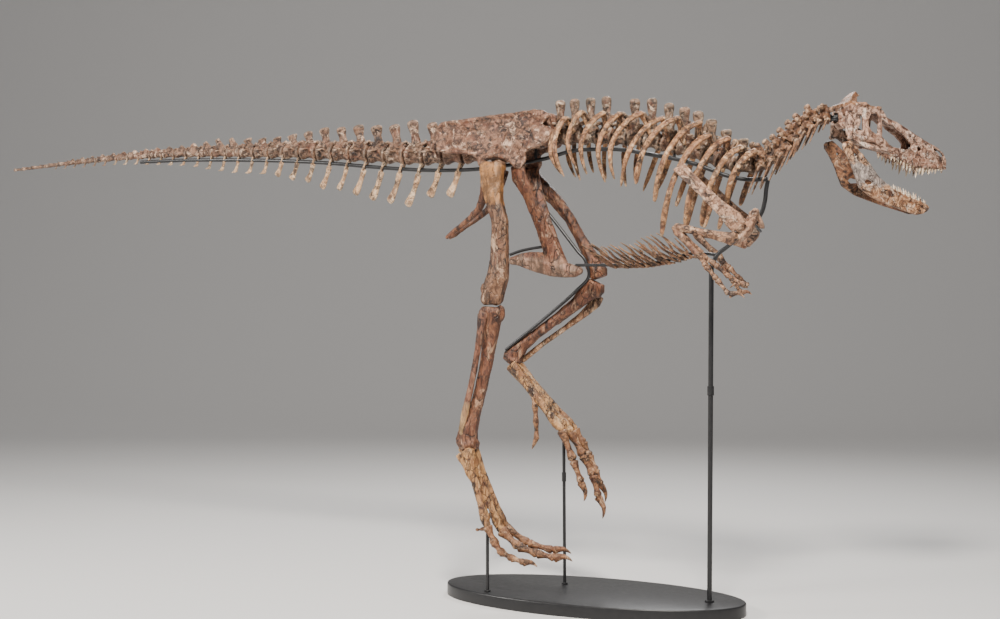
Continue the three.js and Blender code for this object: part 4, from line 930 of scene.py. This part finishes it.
# Built bones: piece, voxel mm, material, slot, roughness, smoothing, builder, nodes it stands for
BUILT = [
    ("tail_1_bone", 4.6, TAIL, "bone_tail", 0.8, 2, tail(0, 8), "tail_1"),
    ("tail_2_bone", 4.2, TAIL, "bone_tail", 0.8, 2, tail(8, 16), "tail_2"),
    ("tail_3_bone", 3.6, TAIL, "bone_tail", 0.7, 2, tail(16, 25), "tail_3"),
    ("tail_4_bone", 2.8, TAIL, "bone_tail", 0.5, 2, tail(25, TAIL_COUNT), "tail_4"),
    ("chevrons_1", 4.0, CHEVRON, "bone_tail", 0.7, 3, chevrons(1, 8), "tail_1"),
    ("chevrons_2", 3.6, CHEVRON, "bone_tail", 0.6, 3, chevrons(8, 16), "tail_2"),
    ("chevrons_3", 3.0, CHEVRON, "bone_tail", 0.5, 2, chevrons(16, 25), "tail_3"),
    ("chevrons_4", 2.4, TAIL, "bone_tail", 0.3, 1, chevrons(25, 31), "tail_4"),
    ("trunk_column", 4.4, COLUMN, "bone_trunk", 0.9, 2, trunk, "ribcage_right ribcage_left"),
    ("ribs_right", 4.0, RIB, "bone_trunk", 0.7, 3, ribs(-1), "ribcage_right"),
    ("ribs_left", 4.0, RIB, "bone_trunk", 0.7, 3, ribs(1), "ribcage_left"),
    ("neck_rear_bone", 3.4, NECK, "bone_trunk", 0.7, 2, neck(0, 4), "neck_rear"),
    ("neck_front_bone", 3.4, NECK, "bone_trunk", 0.7, 2, neck(4, NECK_COUNT), "neck_front"),
    ("hand_right_bone", 2.6, ARM, "bone_foot", 0.5, 2, hand(-1), "hand_right"),
    ("hand_left_bone", 2.6, ARM, "bone_foot", 0.5, 2, hand(1), "hand_left"),
    ("gastralia_bone", 2.6, BELLY, "bone_trunk", 0.35, 2, gastralia, "gastralia"),
    ("skull_bone", 2.6, HEAD, "bone_head", 0.7, 3, skull, "skull"),
    ("jaw_right_bone", 2.6, JAW, "bone_jaw", 0.6, 3, jaw(1), "jaw_right"),
    ("jaw_left_bone", 2.6, SHADED_FAR_JAW, "bone_jaw", 0.6, 3, jaw(-1), "jaw_left"),
    ("teeth_upper", 1.5, TOOTH, "bone_head", 0.12, 1, upper_teeth, "skull"),
    ("teeth_lower_right", 1.5, TOOTH, "bone_jaw", 0.12, 1, lower_teeth(1), "jaw_right"),
    ("teeth_lower_left", 1.5, TOOTH, "bone_jaw", 0.12, 1, lower_teeth(-1), "jaw_left"),
]
BUILT += [(name + "_bone", 2.8, TOE, "bone_foot", 0.6, 2, toe(name), name) for name in TOES]
LIKE_THE_SOLID = ("skull_bone", "jaw_right_bone", "jaw_left_bone")
seed = 200
for name, voxel, material, slot, rough, smooth, build, names in BUILT:
    copied = (names,) if name in LIKE_THE_SOLID else ()
    bone_piece(name, voxel, material, slot, seed, rough, smooth, build, copied, names.split())
    seed += 5


# Stand: round rods and swept tubes in satin black

BASE_TOP = 66


def steel(name, stands_for, build):
    bm = bmesh.new()
    build(bm)
    me = bpy.data.meshes.new(name)
    bm.to_mesh(me)
    bm.free()
    me.materials.append(BLACK)
    me.shade_smooth()
    me.set_sharp_from_angle(angle=math.radians(40))
    obj = placed(name, me)
    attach(obj, "root")
    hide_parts(stands_for)


def pipe(bm, points, r, count=None):
    """A round bar through points, with rounded ends."""
    path = spline(points, count)[0] if count else np.array(points, float)
    first = (path[0] - path[1]) / np.linalg.norm(path[0] - path[1])
    last = (path[-1] - path[-2]) / np.linalg.norm(path[-1] - path[-2])
    rows = [[*(path[0] + first * r * 0.25), r * 0.7, r * 0.7]]
    rows += [[*p, r, r] for p in path]
    rows.append([*(path[-1] + last * r * 0.25), r * 0.7, r * 0.7])
    steep = abs(path[-1][2] - path[0][2]) > 0.8 * np.linalg.norm(path[-1] - path[0])
    loft(bm, rows, 20, (1, 0, 0) if steep else (0, 1, 0))


def collar(bm, x, y, rows, sides):
    """A turned ring around an upright rod, from (height, radius) rows."""
    loft(bm, [[x, y, z, r, r] for z, r in rows], sides)


def upright(foot, top, radius, sleeve=None):
    """A rod on the base with a ring at its foot, and a sleeve at a height where it has one."""
    def add(bm):
        pipe(bm, [(*foot, BASE_TOP), top], radius)
        collar(bm, *foot, ((BASE_TOP + 0.5, radius * 1.9), (74, radius * 1.9), (76, radius * 1.7)), 28)
        if sleeve:
            share = (sleeve - BASE_TOP) / (top[2] - BASE_TOP)
            x, y = (lerp(foot[k], top[k], share) for k in (0, 1))
            collar(bm, x, y, ((sleeve - 26, radius * 1.1), (sleeve - 24, radius * 1.35),
                              (sleeve + 24, radius * 1.35), (sleeve + 26, radius * 1.1)), 24)
    return add


def plinth(bm):
    rows = [(0.0, 0.0), (0.0, 3.0), (0.0, 58.0), (1.2, 62.0), (4.0, 64.8), (8.0, BASE_TOP)]
    loft(bm, [[-25, 60, z, 862 - inset, 395 - inset] for inset, z in rows], 128)

SPINE_TUBE = [
    (-3166, 132, 2558), (-2808, 90, 2550), (-2492, 56, 2535), (-2098, 21, 2511), (-1852, 6, 2492),
    (-1619, 0, 2470), (-1394, 0, 2443), (-1174, 0, 2420), (-952, 0, 2403), (-673, 0, 2400),
    (-275, 0, 2440), (-114, 0, 2475), (44, 0, 2477), (193, 0, 2466), (323, 0, 2438),
    (452, 0, 2411), (578, 0, 2376), (665, 0, 2342), (767, 0, 2302), (869, 0, 2281), (968, 3, 2280)]


def spine_tube(bm):
    pipe(bm, SPINE_TUBE, 11, 130)
    for x, low, high in ((-560, 2406, 2462), (-330, 2430, 2515), (30, 2470, 2522), (470, 2400, 2450)):
        pipe(bm, [(x, 0, low), (x, 0, high)], 8)


def front_tube(bm):
    pipe(bm, [(971, 6, 2272), (962, 8, 2225), (955, 10, 2168), (934, 10, 2101), (860, 12, 2018),
              (762, 16, 1942), (696, 24, 1892), (664, 32, 1832)], 11, 70)
    for side in (-1, 1):
        pipe(bm, [(893, 10, 2056), (893, side * 158, 2020)], 7)


steel("base", "stand_base", plinth)
steel("rod_rear", "stand_rod_rear", upright((-531, -200), (-531, -200, 446), 9))
steel("rod_middle", "stand_rod_middle", upright((-230, 176), (-236, 176, 946), 9, 668))
steel("rod_front", "stand_rod_front", upright((649, 45), (663, 32, 1840), 13, 1180))
steel("spine_tube", "stand_spine_tube", spine_tube)
steel("front_tube", "stand_front_tube", front_tube)
steel("leg_tube", "stand_leg_tube_left", lambda bm: pipe(bm, [
    (-440, 105, 2330), (-355, 120, 2207), (-235, 123, 2060), (-125, 122, 1925), (-88, 122, 1885),
    (-66, 128, 1793), (-143, 132, 1712), (-318, 136, 1572), (-578, 140, 1378)], 9, 90))
steel("belly_rod", "stand_belly_rod", lambda bm: pipe(bm, [
    (-92, 0, 1850), (80, 0, 1848), (280, 0, 1850), (440, 2, 1872), (560, 8, 1904), (690, 24, 1896)], 8, 60))
steel("pubis_rod", "stand_pubis_rod", lambda bm: pipe(bm, [
    (-487, 0, 1914), (-420, 0, 1934), (-340, 0, 1948), (-262, 0, 1956)], 8, 20))


def head_post(bm):
    """The steel joint behind the skull: a short bar with two collars and four bolts."""
    a, b = Vector((1262, 134, 2592)), Vector((1306, 135, 2592))
    pipe(bm, [tuple(a.lerp(b, k)) for k in (0.1, 0.5, 0.9)], 13)
    for k in (0.06, 0.86):
        pipe(bm, [tuple(a.lerp(b, k)), tuple(a.lerp(b, k + 0.08))], 21)
    for turn in (0.78, 2.35, 3.92, 5.49):
        out = Vector((0, 15 * math.cos(turn), 15 * math.sin(turn)))
        pipe(bm, [tuple(a.lerp(b, k) + out) for k in (0.10, 0.5, 0.9)], 3)


steel("head_post", "stand_head_block", head_post)

# Floor, light and camera. The camera looks level along VIEW, 25 degrees off the side of the mount.

VIEW_TURN = 25
VIEW = Vector((-0.42262, 0.90631, 0))
SIDE = Vector((0.90631, 0.42262, 0))
EYE = Vector((2.8456, -7.2794, 1.608))
FLOOR_START = -14.0      # metres along VIEW from under the camera
FLOOR_END = 18.0         # where the floor starts to curve up
CURVE = 9.0              # radius of the curve
CURVE_STEPS = 24
BACKDROP_TOP = 24.0
HALF_WIDTH = 45.0


def sweep():
    """A floor that curves up into a backdrop far behind the skeleton."""
    rows = [(FLOOR_START, 0.0), (FLOOR_END, 0.0)]
    for k in range(1, CURVE_STEPS + 1):
        w = math.pi / 2 * k / CURVE_STEPS
        rows.append((FLOOR_END + CURVE * math.sin(w), CURVE - CURVE * math.cos(w)))
    rows.append((FLOOR_END + CURVE, BACKDROP_TOP))
    ground = Vector((EYE.x, EYE.y, 0))
    verts, faces = [], []
    for far, z in rows:
        for across in (-HALF_WIDTH, HALF_WIDTH):
            p = ground + VIEW * far + SIDE * across
            verts.append((p.x, p.y, z))
    for k in range(len(rows) - 1):
        faces.append((2 * k, 2 * k + 1, 2 * k + 3, 2 * k + 2))
    me = bpy.data.meshes.new("sweep")
    me.from_pydata(verts, [], faces)
    me.shade_smooth()
    mat = bpy.data.materials.new("sweep")
    mat.use_nodes = True
    bsdf = mat.node_tree.nodes["Principled BSDF"]
    bsdf.inputs["Base Color"].default_value = (0.66, 0.65, 0.64, 1)
    bsdf.inputs["Roughness"].default_value = 0.85
    bsdf.inputs["Specular IOR Level"].default_value = 0.1
    me.materials.append(mat)
    obj = placed("sweep", me)


sweep()

world = bpy.data.worlds.new("studio")
bpy.context.scene.world = world
world.use_nodes = True
world.node_tree.nodes["Background"].inputs[0].default_value = (0.86, 0.86, 0.88, 1)
world.node_tree.nodes["Background"].inputs[1].default_value = 0.30


def lamp(name, place, target, size, power, tint=(1, 1, 1)):
    data = bpy.data.lights.new(name, "AREA")
    data.shape = "SQUARE"
    data.size = size
    data.energy = power
    data.color = tint
    obj = placed(name, data)
    obj.location = place
    obj.rotation_euler = (Vector(target) - Vector(place)).to_track_quat("-Z", "Y").to_euler()


lamp("key", (1.8, -4.6, 6.8), (-0.6, 0, 1.9), 1.3, 1150, (1, 0.95, 0.88))
lamp("left", (-6.5, -4.5, 4.6), (-2.0, 0, 2.2), 1.6, 520, (1, 0.97, 0.93))
lamp("rim", (-1.0, 5.0, 6.0), (-0.6, 0, 2.2), 2.0, 300)

camera_data = bpy.data.cameras.new("camera")
camera_data.sensor_width = 36
camera_data.lens = 51.66
camera = placed("camera", camera_data)
camera.location = EYE
camera.rotation_euler = (math.radians(90), 0, math.radians(VIEW_TURN))
bpy.context.scene.camera = camera
